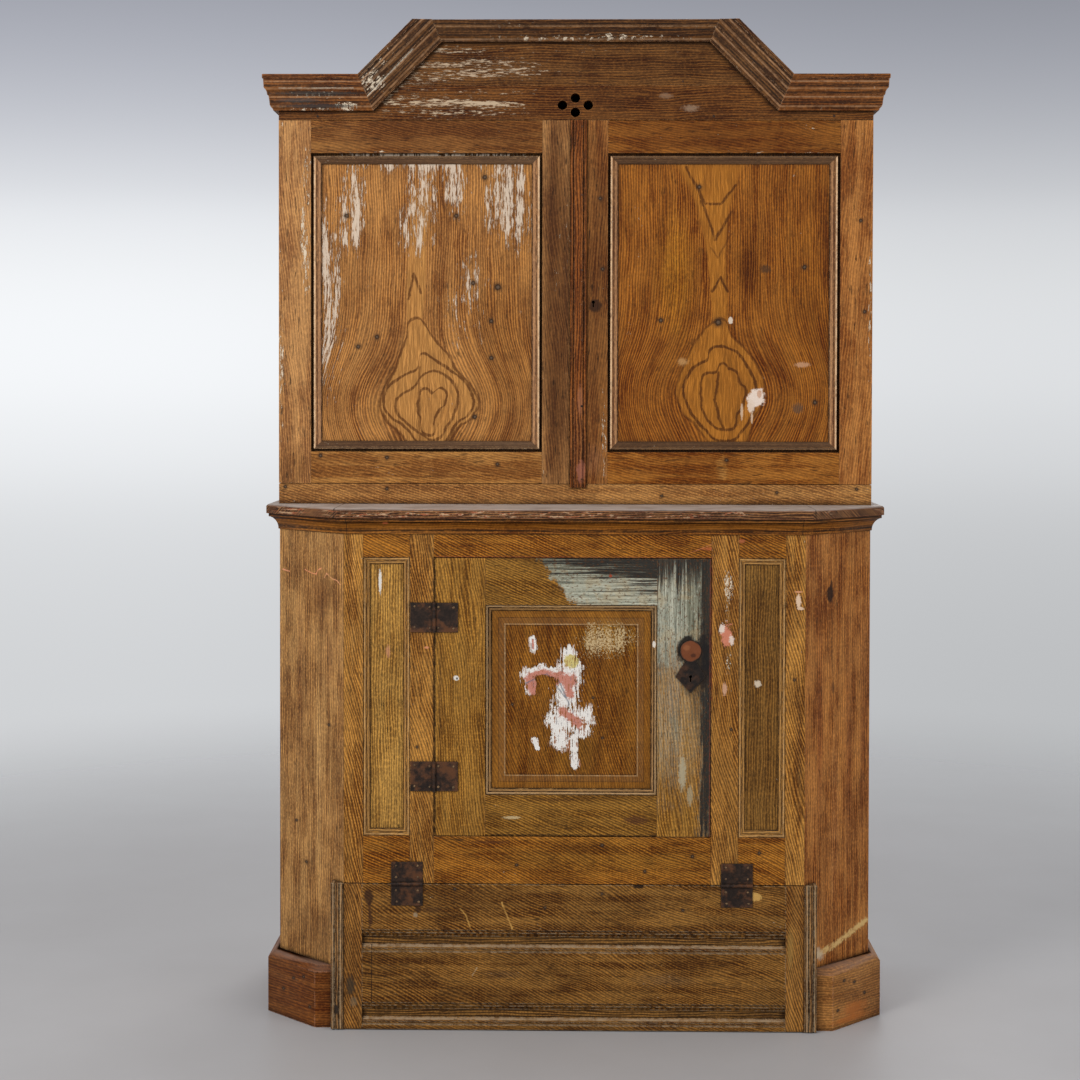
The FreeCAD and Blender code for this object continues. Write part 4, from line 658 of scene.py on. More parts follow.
paintedWood(
    "Right panel paint", ["upper_right_door_panel"], mean=(125, 67, 14), spread=1.1, broad=1.1, seed=11.0,
    wander=0.02, pale=0.45, dark=0.4, grit=0.2, loss=0.18, rough=0.42, **rightFigure,
    lossSpots=[(138, 1700, 20, 170, 0.5), (220, 1760, 30, 90, 0.42), (600, 1500, 30, 330, 0.35),
               (120, 1500, 16, 300, 0.4)],
    blots=[(520, 1540, 90, 320, 0.95, 0.5, (112, 58, 14), 0.5),
           (380, 1620, 46, 130, 0.9, 0.5, (92, 46, 10), 0.6),
           (220, 1600, 60, 200, 0.95, 0.5, (150, 88, 24), 0.5),
           (395, 1336, 21, 23, 0.3, 1.3, (228, 208, 192), 1.0),
           (384, 1318, 9, 16, 0.3, 1.2, (222, 200, 180), 0.9),
           (364, 1306, 3.5, 22, 0.4, 1.2, (210, 180, 150), 0.8),
           (386, 1292, 3, 16, 0.4, 1.2, (210, 180, 150), 0.8),
           (402, 1344, 6, 10, 0.3, 1.0, (196, 150, 120), 0.8),
           (339, 1504, 6, 9, 0.3, 1.0, (218, 200, 180), 0.9),
           (495, 1408, 20, 7, 0.5, 1.5, (196, 150, 116), 0.7),
           (486, 1313, 16, 15, 0.6, 1.3, (84, 66, 52), 0.7),
           (235, 1414, 16, 12, 0.7, 1.5, (196, 150, 96), 0.6),
           (414, 1616, 15, 13, 0.6, 1.3, (62, 44, 30), 0.75)],
    nails=[(270, 1794), (499, 1620), (187, 1504), (523, 1326), (312, 1500, 8.5)])
print("upper panels painted")

upperDoors = {
    "left": {
        "side": -1, "seed": 2.0, "stile": (165, 114, 67), "rail": (152, 99, 46), "moulding": (160, 113, 76),
        "rubbed": (212, 168, 118), "railShade": (104, 60, 24), "stileNails": [],
        "railNails": [(-409, 1204), (-168, 1190), (-554, 1208)],
        "stileLoss": [(-588, 1700, 18, 420, 0.75), (-640, 1500, 14, 600, 0.5)],
        "stileBlots": [(-41, 1540, 56, 800, 0.75, 0.2, (92, 54, 24), 0.95),
                       (-610, 1180, 50, 60, 0.8, 0.5, (110, 68, 30), 0.5)]},
    "right": {
        "side": 1, "seed": 12.0, "stile": (151, 92, 42), "rail": (134, 77, 22), "moulding": (152, 106, 70),
        "rubbed": (196, 140, 84), "railShade": (98, 50, 12),
        "stileNails": [(619, 1720), (628, 1523), (54.5, 1768), (60, 1615)], "railNails": [(330, 1200)],
        "stileLoss": [(640, 1500, 10, 600, 0.7), (70, 1250, 30, 200, 0.6)],
        "stileBlots": [(50, 1560, 56, 700, 0.8, 0.5, (98, 56, 22), 0.9),
                       (43.6, 1535, 17, 17, 0.35, 0.9, (48, 28, 16), 0.85),
                       (40, 1200, 30, 50, 0.8, 0.8, (150, 96, 62), 0.5)]},
}
doorMiddle = 323  # from the cupboard's middle to an upper door's middle, in millimetres
for hand, door in upperDoors.items():
    side, seed, title = door["side"], door["seed"], hand.title()
    paintedWood(
        "%s door stile paint" % title, ["upper_%s_door_stiles" % hand], seed=seed + 0.3, mean=door["stile"],
        slant=-0.1 * side, wander=0.03, pale=0.25, dark=0.25, broad=1.5, grit=0.2, ticks=0.8, loss=0.26,
        lossGrain=5.0, lossSpots=door["stileLoss"], blots=door["stileBlots"], nails=door["stileNails"],
        nailSize=4.5)
    paintedWood(
        "%s door rail paint" % title, ["upper_%s_door_rails" % hand], seed=seed + 0.6, space="level",
        mean=door["rail"], slant=0.22, wander=0.05, weave=0.3, pale=0.28, dark=0.3, broad=1.7, grit=0.2,
        loss=0.24, lossGrain=4.0, lossSpots=[(side * 320, 1868, 420, 10, 0.7)],
        blots=[(side * 320, 1905, 480, 80, 0.75, 0.3, door["railShade"], 0.9),
               (side * 320, 1183, 18, 40, 0.8, 0.8, (172, 118, 60), 0.6)], nails=door["railNails"],
        nailSize=4.5)
    paintedWood(
        "%s door moulding paint" % title, ["upper_%s_door_mouldings" % hand], seed=seed + 0.8,
        frame=(doorMiddle, 1541.5, 246, 318.5, True), mean=door["moulding"], spread=0.9, reach=0.007,
        wear=0.9, wearColour=door["rubbed"], loss=0.3, pale=0.3, dark=0.4, grit=0.3, levelShade=0.8,
        # painted highlights on the moulding's beads and painted shade in its quirks
        bands=[(2.0, 2.4, (232, 194, 152), 0.85), (7.0, 2.6, (74, 40, 20), 0.75),
               (12.0, 2.6, (206, 152, 104), 0.35), (16.4, 2.2, (44, 26, 14), 0.9)])
    paintedWood(
        "Upper %s side paint" % hand, ["upper_%s_side_board" % hand], seed=seed + 1.5, mean=(128, 84, 40),
        loss=0.2, sideBoard=True, pale=0.5, dark=0.5)
paintedWood(
    "Meeting strip paint", ["meeting_strip"], seed=21.0, mean=(109, 54, 17), spread=0.8, wear=0.75, loss=0.2,
    wearColour=(164, 112, 76), reach=0.008, pale=0.4,
    blots=[(10, 1230, 30, 120, 0.95, 0.6, (116, 68, 48), 0.6),
           (14, 1175, 12, 30, 0.5, 1.3, (166, 104, 84), 0.6),
           (12, 1330, 8, 40, 0.5, 1.4, (160, 104, 72), 0.5)])
paintedWood(
    "Base rail paint", ["upper_base_rail"], seed=22.0, space="level", mean=(157, 106, 56), loss=0.3,
    weave=0.5, slant=0.3, pale=0.35, dark=0.4, grit=0.3, broad=1.3, reach=0.02,
    nails=[(-631, 1140), (-409, 1136), (440, 1130), (613, 1138), (190, 1122)], nailSize=4.0)
paintedWood(
    "Frieze paint", ["frieze_board"], seed=23.0, space="level", mean=(88, 46, 14), lossGrain=6.0, loss=0.24,
    strung=0.3, lossColour=(196, 172, 142), pale=0.35, dark=0.4, broad=1.2, grit=0.3,
    lossSpots=[(-280, 1966, 330, 50, 0.9), (-360, 1996, 280, 50, 0.72), (-180, 2004, 260, 44, 0.66)],
    blots=[(250, 1963, 24, 10, 0.7, 1.6, (156, 128, 104), 0.6),
           (196, 1990, 20, 8, 0.7, 1.6, (146, 116, 92), 0.5)])
paintedWood(
    "Pediment paint", ["pediment_board"], seed=24.0, space="level", mean=(86, 48, 18), lossGrain=6.0,
    loss=0.28, strung=0.3, lossColour=(190, 166, 138), pale=0.35, dark=0.4, broad=1.2, grit=0.3,
    lossSpots=[(-200, 2045, 360, 54, 0.8), (-120, 2084, 360, 42, 0.7), (-330, 2030, 170, 60, 0.76),
               (-270, 2096, 130, 40, 0.76), (200, 2060, 260, 60, 0.4)])

# painted shade for the quirks and painted highlight for the arrises
quirkShadeTone, arrisHighlightTone = (34, 22, 14), (196, 150, 110)
corniceSection = [(66, 3.2), (60, 2.4), (51, 3.2), (45, 2.4), (36, 3.4), (28, 2.2), (17, 3.0), (8, 2.6)]


def corniceBands(low):
    # painted shade in the quirks and painted highlights on the rubbed arrises by turns, above the cornice's
    # lower edge
    return [(low + at, width) + ((arrisHighlightTone, 0.45) if index % 2 else (quirkShadeTone, 0.8))
            for index, (at, width) in enumerate(corniceSection)]


paintedWood(
    "Top cornice paint", ["cornice_crown"], seed=25.0, space="level", mean=(76, 42, 18), loss=0.34, wear=0.8,
    lossGrain=4.0, wearColour=(186, 148, 114), reach=0.009, lossSpots=[(0, 2114, 420, 14, 0.8)], pale=0.35,
    dark=0.5,
    # painted shade in the crown's quirks and painted highlights on its arrises
    bands=[(2142, 2.6, (34, 22, 14), 0.8), (2137, 2.2, (188, 146, 106), 0.4), (2129, 2.8, (34, 22, 14), 0.8),
           (2119, 2.4, (34, 22, 14), 0.7), (2110, 2.6, (196, 156, 120), 0.4)])
paintedWood(
    "Cornice end paint", ["cornice_ends"], seed=26.0, space="level", mean=(101, 53, 20), wear=0.9, pale=0.35,
    dark=0.5, bands=corniceBands(1957), reach=0.009, wearColour=(190, 128, 84), loss=0.3,
    lossSpots=[(-560, 1985, 110, 30, 0.7), (-500, 1965, 50, 20, 1.0), (-560, 1960, 110, 8, 0.8)],
    blots=[(-560, 1992, 120, 7, 0.6, 1.4, (52, 52, 50), 0.7),
           (-560, 1966, 110, 6, 0.6, 1.4, (38, 44, 48), 0.85),
           (-600, 1978, 60, 6, 0.6, 1.4, (62, 66, 66), 0.6)], nails=[(541, 2042, 4.0)],
    lines=[([(-640, 2003), (-480, 2003)], 1.6, (204, 190, 168), 0.6)])
paintedWood(
    "Cornice return paint", ["cornice_returns"], seed=27.0, space="deep", mean=(104, 66, 34), wear=0.8,
    bands=corniceBands(1957), reach=0.009)
paintedWood(
    "Rake paint", ["cornice_rakes"], seed=28.0, space="rake", mean=(84, 50, 26), wear=0.95, loss=0.36,
    lossGrain=4.0, pale=0.35, dark=0.5, bands=corniceBands(1693.9), reach=0.009, wearColour=(196, 150, 112),
    lossSpots=[(-440, 2020, 60, 60, 0.8), (-420, 2080, 80, 90, 0.6)],
    blots=[(-440, 2040, 30, 60, 0.9, 1.2, (60, 52, 44), 0.5)],
    lines=[([(-459, 1978), (-352, 2088)], 2.0, (206, 194, 174), 0.7)])
print("upper stage painted")


# waist and lower stage

def paleTops(tone, amount):
    # level tops turn a patchy paler grey
    def paint(base, grain, colour, height):
        up = split(output(add("NewGeometry"), "Normal"))["Z"]
        rubbed = smooth(noise(base["place"], 14, 5, 0.7), 0.3, 0.6, 0.6, 1.0)
        return paintOver(smooth(up, 0.6, 0.95) * amount * rubbed, colour, rgb(*tone)), height
    return paint


# the waist board's rounded edge, in metres, and the older coats' colours
nosing = {"middle": 1.0925, "half": 0.0095, "core": 0.004, "red": rgb(166, 94, 62),
          "cream": rgb(198, 160, 124), "topTone": (196, 184, 174)}


def chippedNosing(base, grain, colour, height):
    # older coats show in chips along the rounded edge
    parts = base["parts"]
    run = parts["X"] + parts["Y"] * 0.6
    band = smooth(abs(parts["Z"] - nosing["middle"]), nosing["half"], nosing["core"])
    place = vector(run * 42, parts["Z"] * 190, 2.0)
    chips = smooth(noise(place, 1, 6, 0.75), 0.52, 0.57)
    chips = chips * smooth(noise(place, 0.12, 3), 0.40, 0.54) * band
    hue = noise(vector(run * 110, parts["Z"] * 190, 6.0), 1, 3)
    older = paintOver(smooth(hue, 0.44, 0.56), nosing["red"], nosing["cream"])
    colour = paintOver(chips * 0.9, colour, older)
    return paleTops(nosing["topTone"], 0.95)(base, grain, colour, timesPlus(chips, -0.6, height))


# the grey coat's limits as (where it starts, where it is whole), in metres; slope is their lean on the rail
greyLimits = {
    "stile": {"right": (0.1, 0.11), "top": (0.72, 0.84), "thin": (0.46, 0.60), "edge": (0.257, 0.271),
              "edgeFoot": (0.38, 0.46), "black": (0.915, 0.975), "olive": (0.215, 0.245)},
    "rail": {"slope": 0.767, "start": (0.688, 0.7), "black": (0.958, 0.994), "olive": (0.925, 0.985)},
}
greyTones = {
    "pale": rgb(196, 195, 174), "grey": rgb(116, 119, 104), "olive": rgb(84, 84, 62),
    "worn": rgb(184, 160, 118), "streak": rgb(52, 56, 52), "black": rgb(26, 27, 29),
    "brown": rgb(88, 54, 30), "bright": rgb(206, 202, 184),
}


def greyPaint(upright):
    # a coat of streaky grey green paint round the lock, black towards the top and the edge
    limits = greyLimits["stile" if upright else "rail"]

    def paint(base, grain, colour, height):
        parts, place = base["parts"], base["place"]
        ragged = noise(place, 34, 6, 0.75) - 0.5
        streaks = noise(vector(base["across"] * 260, base["along"] * 6, 3.3), 1, 5, 0.7)
        pulled = streaks - 0.5
        if upright:
            high = timesPlus(ragged, 0.2, timesPlus(pulled, 0.4, parts["Z"]))
            right = smooth(parts["X"], *limits["right"])
            mask = most(smooth(high, *limits["top"]) * right, smooth(high, *limits["thin"]) * (right * 0.30))
            deep = smooth(timesPlus(pulled, 0.26, parts["Z"]), *limits["black"])
            side = timesPlus(pulled, 0.05, timesPlus(ragged, 0.03, parts["X"]))
            edge = smooth(side, *limits["edge"]) * smooth(high, *limits["edgeFoot"])
            mask, deep = most(mask, edge), most(deep, edge)
            darker = smooth(side, *limits["olive"])
        else:
            slope = timesPlus(parts["Z"], limits["slope"], parts["X"])
            slope = timesPlus(ragged, 0.1, timesPlus(pulled, 0.05, slope))
            mask = smooth(slope, *limits["start"])
            deep = timesPlus(parts["X"], 0.25, timesPlus(pulled, 0.24, parts["Z"]))
            deep = smooth(deep, *limits["black"])
            darker = smooth(parts["Z"], *limits["olive"])
        tone = paintOver(smooth(streaks, 0.36, 0.64), greyTones["pale"], greyTones["grey"])
        tone = paintOver(darker * 0.55, tone, greyTones["olive"])
        worn = smooth(noise(place, 26, 5, 0.7), 0.5, 0.62)
        tone = paintOver(worn * 0.35, tone, greyTones["worn"])
        tone = paintOver(smooth(streaks, 0.57, 0.65) * 0.75, tone, greyTones["streak"])
        tone = paintOver(deep * 0.94, tone, greyTones["black"])
        specks = noise(vector(base["across"] * 300, base["along"] * 110, 5.0), 1, 3, 0.7)
        tone = paintOver(smooth(specks, 0.56, 0.62) * 0.8, tone, greyTones["brown"])
        bright = smooth(specks, 0.40, 0.34) * timesPlus(deep, -0.65, 0.7)
        tone = paintOver(bright, tone, greyTones["bright"])
        colour = paintOver(mask * 0.96, colour, tone)
        return colour, timesPlus(mask * streaks, 0.7, height)
    return paint


def nearness(place, parts):
    # one along the nearest stroke, zero at its rim; strokes are (x, z, x, z, half width), in millimetres
    nearest = None
    for fromX, fromZ, toX, toZ, half in parts:
        away = use(drawnLine, Place=place, From=onFront(fromX, fromZ), To=onFront(toX, toZ),
                   Width=0.001)["Away"]
        nearest = most(nearest, timesPlus(away, -1000 / half, 1.0))
    return nearest


# strokes as (x, z, x, z, half width) and lines as their points, in millimetres
flakes = {
    "white": [(-10, 812, -11, 800, 6), (-10, 796, -11, 780, 17), (-8, 770, -18, 700, 26),
              (-30, 662, 12, 660, 29), (-34, 648, -28, 612, 19), (22, 668, 16, 636, 21), (0, 622, 2, 562, 9),
              (-42, 757, -66, 764, 11), (-66, 764, -96, 756, 10), (-99, 752, -90, 724, 14),
              (-88, 828, -85, 806, 7), (-83, 616, -76, 598, 7)],
    "red": [(-40, 748, -66, 757, 13), (-66, 757, -92, 748, 12), (-94, 742, -82, 714, 16),
            (-36, 748, -6, 738, 18), (-18, 742, -8, 712, 12), (-24, 676, 10, 650, 12),
            (-87, 826, -86, 808, 3)],
    "yellow": [(-8, 783, -3, 781, 15)],
    "greyLines": [[(-104, 734), (-57, 755), (-18, 705)], [(-32, 741), (-10, 691)]],
}


# in metres from the panel's outer edge: strips as (from, to, colour, strength), then lines as
# (where, half width, colour, strength)
margin = {
    "strips": [(0.0275, 0.0405, (132, 92, 50), 0.6), (0.0130, 0.0270, (156, 104, 38), 0.5)],
    # the dark lines are painted shade at the creases; the pale line is rubbed paint and painted highlight at
    # the field's edge
    "lines": [(0.0275, 0.0013, (52, 30, 12), 0.85), (0.0410, 0.0017, (202, 168, 124), 0.7),
              (0.0438, 0.0015, (46, 26, 10), 0.85)],
}


def panelMargin(base, colour):
    # the sloping margin of the raised panel: a clean strip, a dull one, dark lines of painted shade at its
    # creases, and a pale line at the field that is rubbed paint with a painted highlight
    inward = use(frameSpace, **{"X": base["parts"]["X"], "Z": base["parts"]["Z"], "Middle X": -0.006,
                                "Middle Z": 0.700, "Half X": 0.1805, "Half Z": 0.2005})["Across"]
    broken = noise(base["place"], 130, 4, 0.7)
    for low, high, tone, strength in margin["strips"]:
        band = smooth(inward, low - 0.0006, low + 0.0006) * smooth(inward, high + 0.0006, high - 0.0006)
        colour = paintOver(band * smooth(broken, 0.30, 0.55, strength, strength * 0.6), colour, rgb(*tone))
    for at, width, tone, strength in margin["lines"]:
        line = smooth(abs(inward - at), width, width * 0.4)
        colour = paintOver(line * smooth(broken, 0.36, 0.50, strength, strength * 0.45), colour, rgb(*tone))
    return colour


flakeTones = {
    "white": rgb(232, 226, 218), "red": rgb(188, 104, 80), "yellow": rgb(200, 180, 86),
    "scratch": rgb(112, 108, 116), "crack": rgb(146, 88, 46), "greyLine": rgb(92, 98, 112),
    "rim": rgb(58, 34, 12),
}


def flakedPatch(base, grain, colour, height):
    # older white, red and yellow coats show where the graining has flaked off
    place, parts = base["place"], base["parts"]
    colour = panelMargin(base, colour)
    fine = noise(place, 150, 5, 0.75) - 0.5
    upright = noise(vector(parts["X"] * 260, parts["Z"] * 24, 1.0), 1, 4) - 0.5
    slow = noise(place, 48, 3, 0.6) - 0.5
    rough = timesPlus(slow, 1.1, timesPlus(fine, 1.6, upright * 2.6))
    bare = nearness(place, flakes["white"]) + rough
    mask = smooth(bare, 0.06, 0.14)
    rim = smooth(bare, -0.16, 0.06)
    torn = timesPlus(slow, -1.0, fine * 2.4)
    red = smooth(torn + nearness(place, flakes["red"]), 0.0, 0.45)
    yellow = smooth(timesPlus(torn, 0.6, nearness(place, flakes["yellow"])), 0.0, 0.2)
    cracks = smooth(timesPlus(upright, 1.2, fine), 0.1, 0.16)
    low = smooth(parts["Z"], 0.70, 0.66, 0.55, 0.95)
    scratched = smooth(fine - upright, 0.14, 0.18)
    older = paintOver(red * 0.88, flakeTones["white"], flakeTones["red"])
    older = paintOver(yellow * 0.85, older, flakeTones["yellow"])
    older = paintOver(scratched * 0.6, older, flakeTones["scratch"])
    older = paintOver(cracks * low, older, flakeTones["crack"])
    for points in flakes["greyLines"]:
        drawn = lineMask(place, points, 2.2, fine * 4.0)
        older = paintOver(drawn * 0.65, older, flakeTones["greyLine"])
    colour = paintOver(rim * 0.5, colour, flakeTones["rim"])
    return paintOver(mask, colour, older), timesPlus(mask, -1.2, height)


paintedWood(
    "Waist board paint", ["waist_board"], seed=31.0, space="level", mean=(88, 54, 34), wear=0.9, grime=0.6,
    wearWidth=0.004, wearColour=(150, 92, 66), loss=0.25, lossColour=(186, 150, 120), paint=chippedNosing,
    lines=[([(-503, 1082), (-503, 1104)], 1.4, (28, 18, 12), 0.9),
           ([(503, 1082), (503, 1104)], 1.4, (28, 18, 12), 0.9)])
paintedWood(
    "Waist moulding paint", ["waist_mouldings"], seed=32.0, space="around", mean=(119, 66, 18), wear=0.9,
    reach=0.009, wearColour=(176, 120, 62), weave=0.5, pale=0.55, dark=0.6,
    # painted shade in the moulding's quirks and a painted highlight on its bead
    bands=[(1080.5, 2.6, (34, 20, 10), 0.85), (1074.5, 2.6, (38, 24, 10), 0.85),
           (1066, 6.0, (160, 98, 26), 0.5), (1056.5, 3.0, (38, 24, 10), 0.85)],
    lines=[([(-478, 1049), (-478, 1084)], 1.2, (28, 18, 12), 0.9),
           ([(478, 1049), (478, 1084)], 1.2, (28, 18, 12), 0.9),
           ([(-400, 1072), (-392, 1073)], 2.4, (200, 104, 66), 0.9)])
paintedWood(
    "Left cant paint", ["lower_left_cant_board"], seed=33.0, space="leftCant", mean=(154, 107, 60), pale=0.45,
    dark=0.5, spread=1.4, broad=1.5, grit=0.3, loss=0.22, lossColour=(206, 172, 130), wander=0.014,
    blots=[(-590, 700, 12, 320, 0.95, 0.9, (118, 72, 38), 0.55),
           (-545, 500, 14, 300, 0.95, 0.9, (184, 134, 80), 0.5),
           (-540, 920, 40, 90, 0.95, 0.9, (112, 68, 34), 0.6),
           (-520, 790, 16, 90, 0.9, 0.9, (98, 56, 30), 0.5),
           (-560, 190, 90, 70, 0.9, 0.8, (104, 66, 34), 0.5)], nails=[(-520, 640), (-600, 420), (-575, 335)],
    nailSize=3.6,
    lines=[([(-636, 961), (-618, 958)], 1.8, (226, 150, 110), 0.9),
           ([(-578, 965), (-562, 959), (-551, 958), (-547, 967), (-538, 972)], 1.6, (228, 146, 104), 0.95),
           ([(-531, 952), (-526, 962), (-513, 952), (-501, 949), (-493, 941)], 1.5, (226, 156, 112), 0.9)])
paintedWood(
    "Right cant paint", ["lower_right_cant_board"], seed=34.0, space="rightCant", mean=(150, 88, 37),
    pale=0.4, dark=0.45, spread=1.4, broad=1.5, grit=0.3, loss=0.2, lossColour=(196, 150, 100), wander=0.014,
    blots=[(520, 650, 12, 330, 0.95, 0.9, (112, 52, 20), 0.6),
           (590, 560, 14, 380, 0.95, 0.9, (116, 58, 24), 0.55),
           (626, 600, 12, 420, 0.95, 0.9, (108, 54, 22), 0.5),
           (556, 420, 14, 260, 0.95, 0.9, (172, 108, 56), 0.5),
           (543, 920, 10, 21, 0.4, 0.7, (36, 22, 16), 0.9), (546, 938, 3, 16, 0.4, 0.5, (44, 26, 16), 0.8),
           (551, 720, 5, 16, 0.5, 0.6, (70, 40, 24), 0.6)],
    lines=[([(545, 905), (548, 860), (547, 800), (551, 745)], 1.1, (52, 28, 16), 0.75),
           ([(516, 158), (560, 168), (634, 200)], 9.0, (214, 176, 112), 0.95),
           ([(513, 166), (524, 152)], 12.0, (196, 176, 150), 0.7)])
for hand, seed in (("left", 35.0), ("right", 36.0)):
    paintedWood(
        "Lower %s side paint" % hand, ["lower_%s_side_board" % hand], seed=seed, mean=(136, 92, 48),
        broad=0.9, sideBoard=True, pale=0.5, dark=0.5)
paintedWood(
    "Front stile paint", ["lower_front_stiles"], seed=37.0, mean=(146, 95, 38), wander=0.05, slant=0.26,
    loss=0.24, weave=0.3, spread=1.3, broad=1.5, pale=0.6, dark=0.6,
    lossSpots=[(324, 940, 22, 66, 0.95), (320, 880, 10, 60, 0.7), (320, 780, 18, 60, 0.6),
               (470, 900, 10, 60, 0.5)],
    blots=[(318, 700, 50, 420, 0.9, 0.4, (120, 74, 26), 0.7),
           (320, 838, 13, 24, 0.3, 2.6, (206, 128, 102), 0.95),
           (310, 852, 7, 11, 0.3, 2.2, (226, 206, 190), 0.95),
           (330, 828, 6, 12, 0.3, 2.2, (226, 206, 190), 0.9),
           (470, 911, 6, 16, 0.3, 1.6, (222, 190, 160), 0.95),
           (474, 895, 8, 4, 0.3, 1.6, (222, 190, 160), 0.9),
           (470, 930, 10, 2, 0.3, 1.2, (214, 150, 110), 0.9),
           (472, 600, 10, 220, 0.8, 0.8, (96, 58, 26), 0.5),
           (-465, 960, 8, 300, 0.9, 1.0, (176, 122, 60), 0.4),
           (316, 725, 6, 16, 0.4, 1.5, (206, 160, 130), 0.8),
           (-310, 810, 6, 3, 0.4, 1.2, (214, 140, 104), 0.8),
           (-316, 846, 4, 6, 0.4, 1.2, (200, 130, 90), 0.7)], nails=[(462, 745), (-330, 600), (330, 640)],
    nailSize=3.4,
    lines=[([(289, 700), (289, 1001)], 1.3, (122, 58, 40), 0.7),
           # painted shadow in the gap beside the door's left edge
           ([(-296, 411), (-296, 1001)], 2.0, (32, 19, 10), 0.7)])
paintedWood(
    "Front rail paint", ["lower_front_rails"], seed=38.0, space="level", mean=(132, 76, 16), slant=0.45,
    weave=0.4, spread=1.3, broad=1.3, pale=0.65, dark=0.65, wander=0.05, loss=0.2,
    blots=[(0, 1058, 330, 20, 0.9, 0.4, (106, 62, 20), 0.5), (60, 368, 320, 60, 0.9, 0.6, (108, 68, 24), 0.5),
           (-240, 404, 12, 4, 0.5, 1.4, (60, 38, 18), 0.8), (-180, 400, 60, 4, 0.5, 1.8, (78, 44, 22), 0.6),
           (300, 1020, 40, 5, 0.5, 1.8, (190, 96, 60), 0.6),
           (350, 1036, 10, 5, 0.5, 1.4, (196, 110, 76), 0.5)],
    nails=[(-120, 352), (150, 340), (60, 395), (-330, 385), (390, 380), (250, 372)], nailSize=4.0,
    lines=[([(240, 1010), (290, 1030), (330, 1052)], 0.9, (196, 120, 84), 0.7),
           ([(-290, 1001.5), (288, 1001.5)], 1.2, (130, 64, 44), 0.65)])
paintedWood(
    "Narrow panel paint", ["narrow_panels"], seed=39.0, mean=(157, 112, 50), spread=1.1, broad=1.3, pale=0.45,
    dark=0.5, grit=0.35, ticks=0.9, loss=0.2,
    blots=[(394, 706, 150, 620, 0.75, 0.2, (104, 68, 26), 0.95),
           (-409, 948, 4, 30, 0.4, 1.4, (226, 222, 214), 0.9),
           (386, 735, 9, 9, 0.4, 1.6, (214, 196, 172), 0.85),
           (-392, 800, 6, 16, 0.5, 1.5, (196, 136, 104), 0.6)])
paintedWood(
    "Narrow moulding paint", ["narrow_panel_mouldings"], seed=40.0, frame=(394.5, 706, 49.5, 294, True),
    # painted shade in the moulding's quirks and painted highlights on its beads
    bands=[(0.7, 1.8, (50, 30, 14), 0.75), (3.8, 2.2, (204, 162, 108), 0.5), (7.4, 2.0, (54, 32, 14), 0.8),
           (10.8, 2.2, (190, 146, 90), 0.4), (14.4, 2.0, (40, 24, 12), 0.9)], mean=(136, 92, 42), spread=0.9,
    reach=0.007, wear=0.9, wearColour=(204, 160, 104), loss=0.22)
paintedWood(
    "Lower door stile paint", ["lower_door_stiles"], seed=41.0, mean=(139, 93, 33), wander=0.05, slant=0.14,
    weave=0.4, broad=1.5, pale=0.5, dark=0.5, loss=0.12, paint=greyPaint(True),
    blots=[(239, 808, 29, 33, 0.3, 1.1, (24, 20, 18), 0.95), (270, 790, 20, 80, 0.5, 1.2, (28, 26, 26), 0.9),
           (250, 742, 36, 46, 0.7, 1.1, (52, 38, 26), 0.6),
           (228, 548, 10, 44, 0.5, 1.8, (176, 166, 138), 0.75),
           (212, 640, 16, 60, 0.9, 1.8, (104, 96, 70), 0.5),
           (244, 500, 8, 26, 0.5, 1.6, (170, 158, 128), 0.6),
           (-281, 705, 5, 200, 0.8, 0.8, (84, 54, 24), 0.5),
           (-248, 746, 7, 6, 0.3, 1.2, (222, 216, 206), 0.95),
           (-246, 745, 2, 3, 0.3, 0.4, (30, 26, 24), 0.95)],
    lines=[([(285, 414), (285, 998)], 1.3, (120, 54, 38), 0.75),
           # painted shadow along the door's left edge, in the gap
           ([(-292.5, 414), (-292.5, 998)], 2.6, (28, 17, 10), 0.8),
           # painted shade where the stile meets the panel moulding
           ([(-186, 520), (-186, 900)], 1.6, (44, 27, 12), 0.7)])
paintedWood(
    "Lower door rail paint", ["lower_door_rails"], seed=42.0, space="level", mean=(121, 79, 25), wander=0.05,
    slant=0.4, weave=0.4, pale=0.6, dark=0.6, loss=0.2, paint=greyPaint(False),
    blots=[(76, 962, 4, 4, 0.3, 1.0, (150, 66, 40), 0.9), (-40, 490, 60, 5, 0.6, 1.6, (72, 44, 20), 0.5),
           (130, 448, 30, 12, 0.5, 1.6, (78, 44, 26), 0.7),
           (-130, 452, 22, 4, 0.5, 1.8, (206, 184, 140), 0.7)],
    # painted shadow along the door's lower edge, in the gap
    lines=[([(-293, 415.5), (286, 415.5)], 2.2, (30, 18, 10), 0.8)])
paintedWood(
    "Lower door moulding paint", ["lower_door_mouldings"], seed=43.0, frame=(-6, 700, 180.5, 200.5, False),
    # painted shade in the moulding's quirks and painted highlights on its beads
    bands=[(0.8, 2.0, (38, 23, 11), 0.95), (3.6, 2.0, (208, 172, 126), 0.6), (6.8, 2.2, (40, 24, 11), 0.95),
           (9.6, 1.8, (176, 132, 82), 0.5), (12.6, 2.2, (30, 18, 9), 0.95)], pale=0.4, dark=0.5,
    mean=(138, 100, 58), spread=0.9, reach=0.007, wear=0.9, wearColour=(190, 150, 104), loss=0.22,
    blots=[(160, 870, 50, 46, 0.95, 0.7, (120, 108, 84), 0.55),
           (168, 818, 4, 8, 0.3, 1.0, (226, 216, 202), 0.95)])
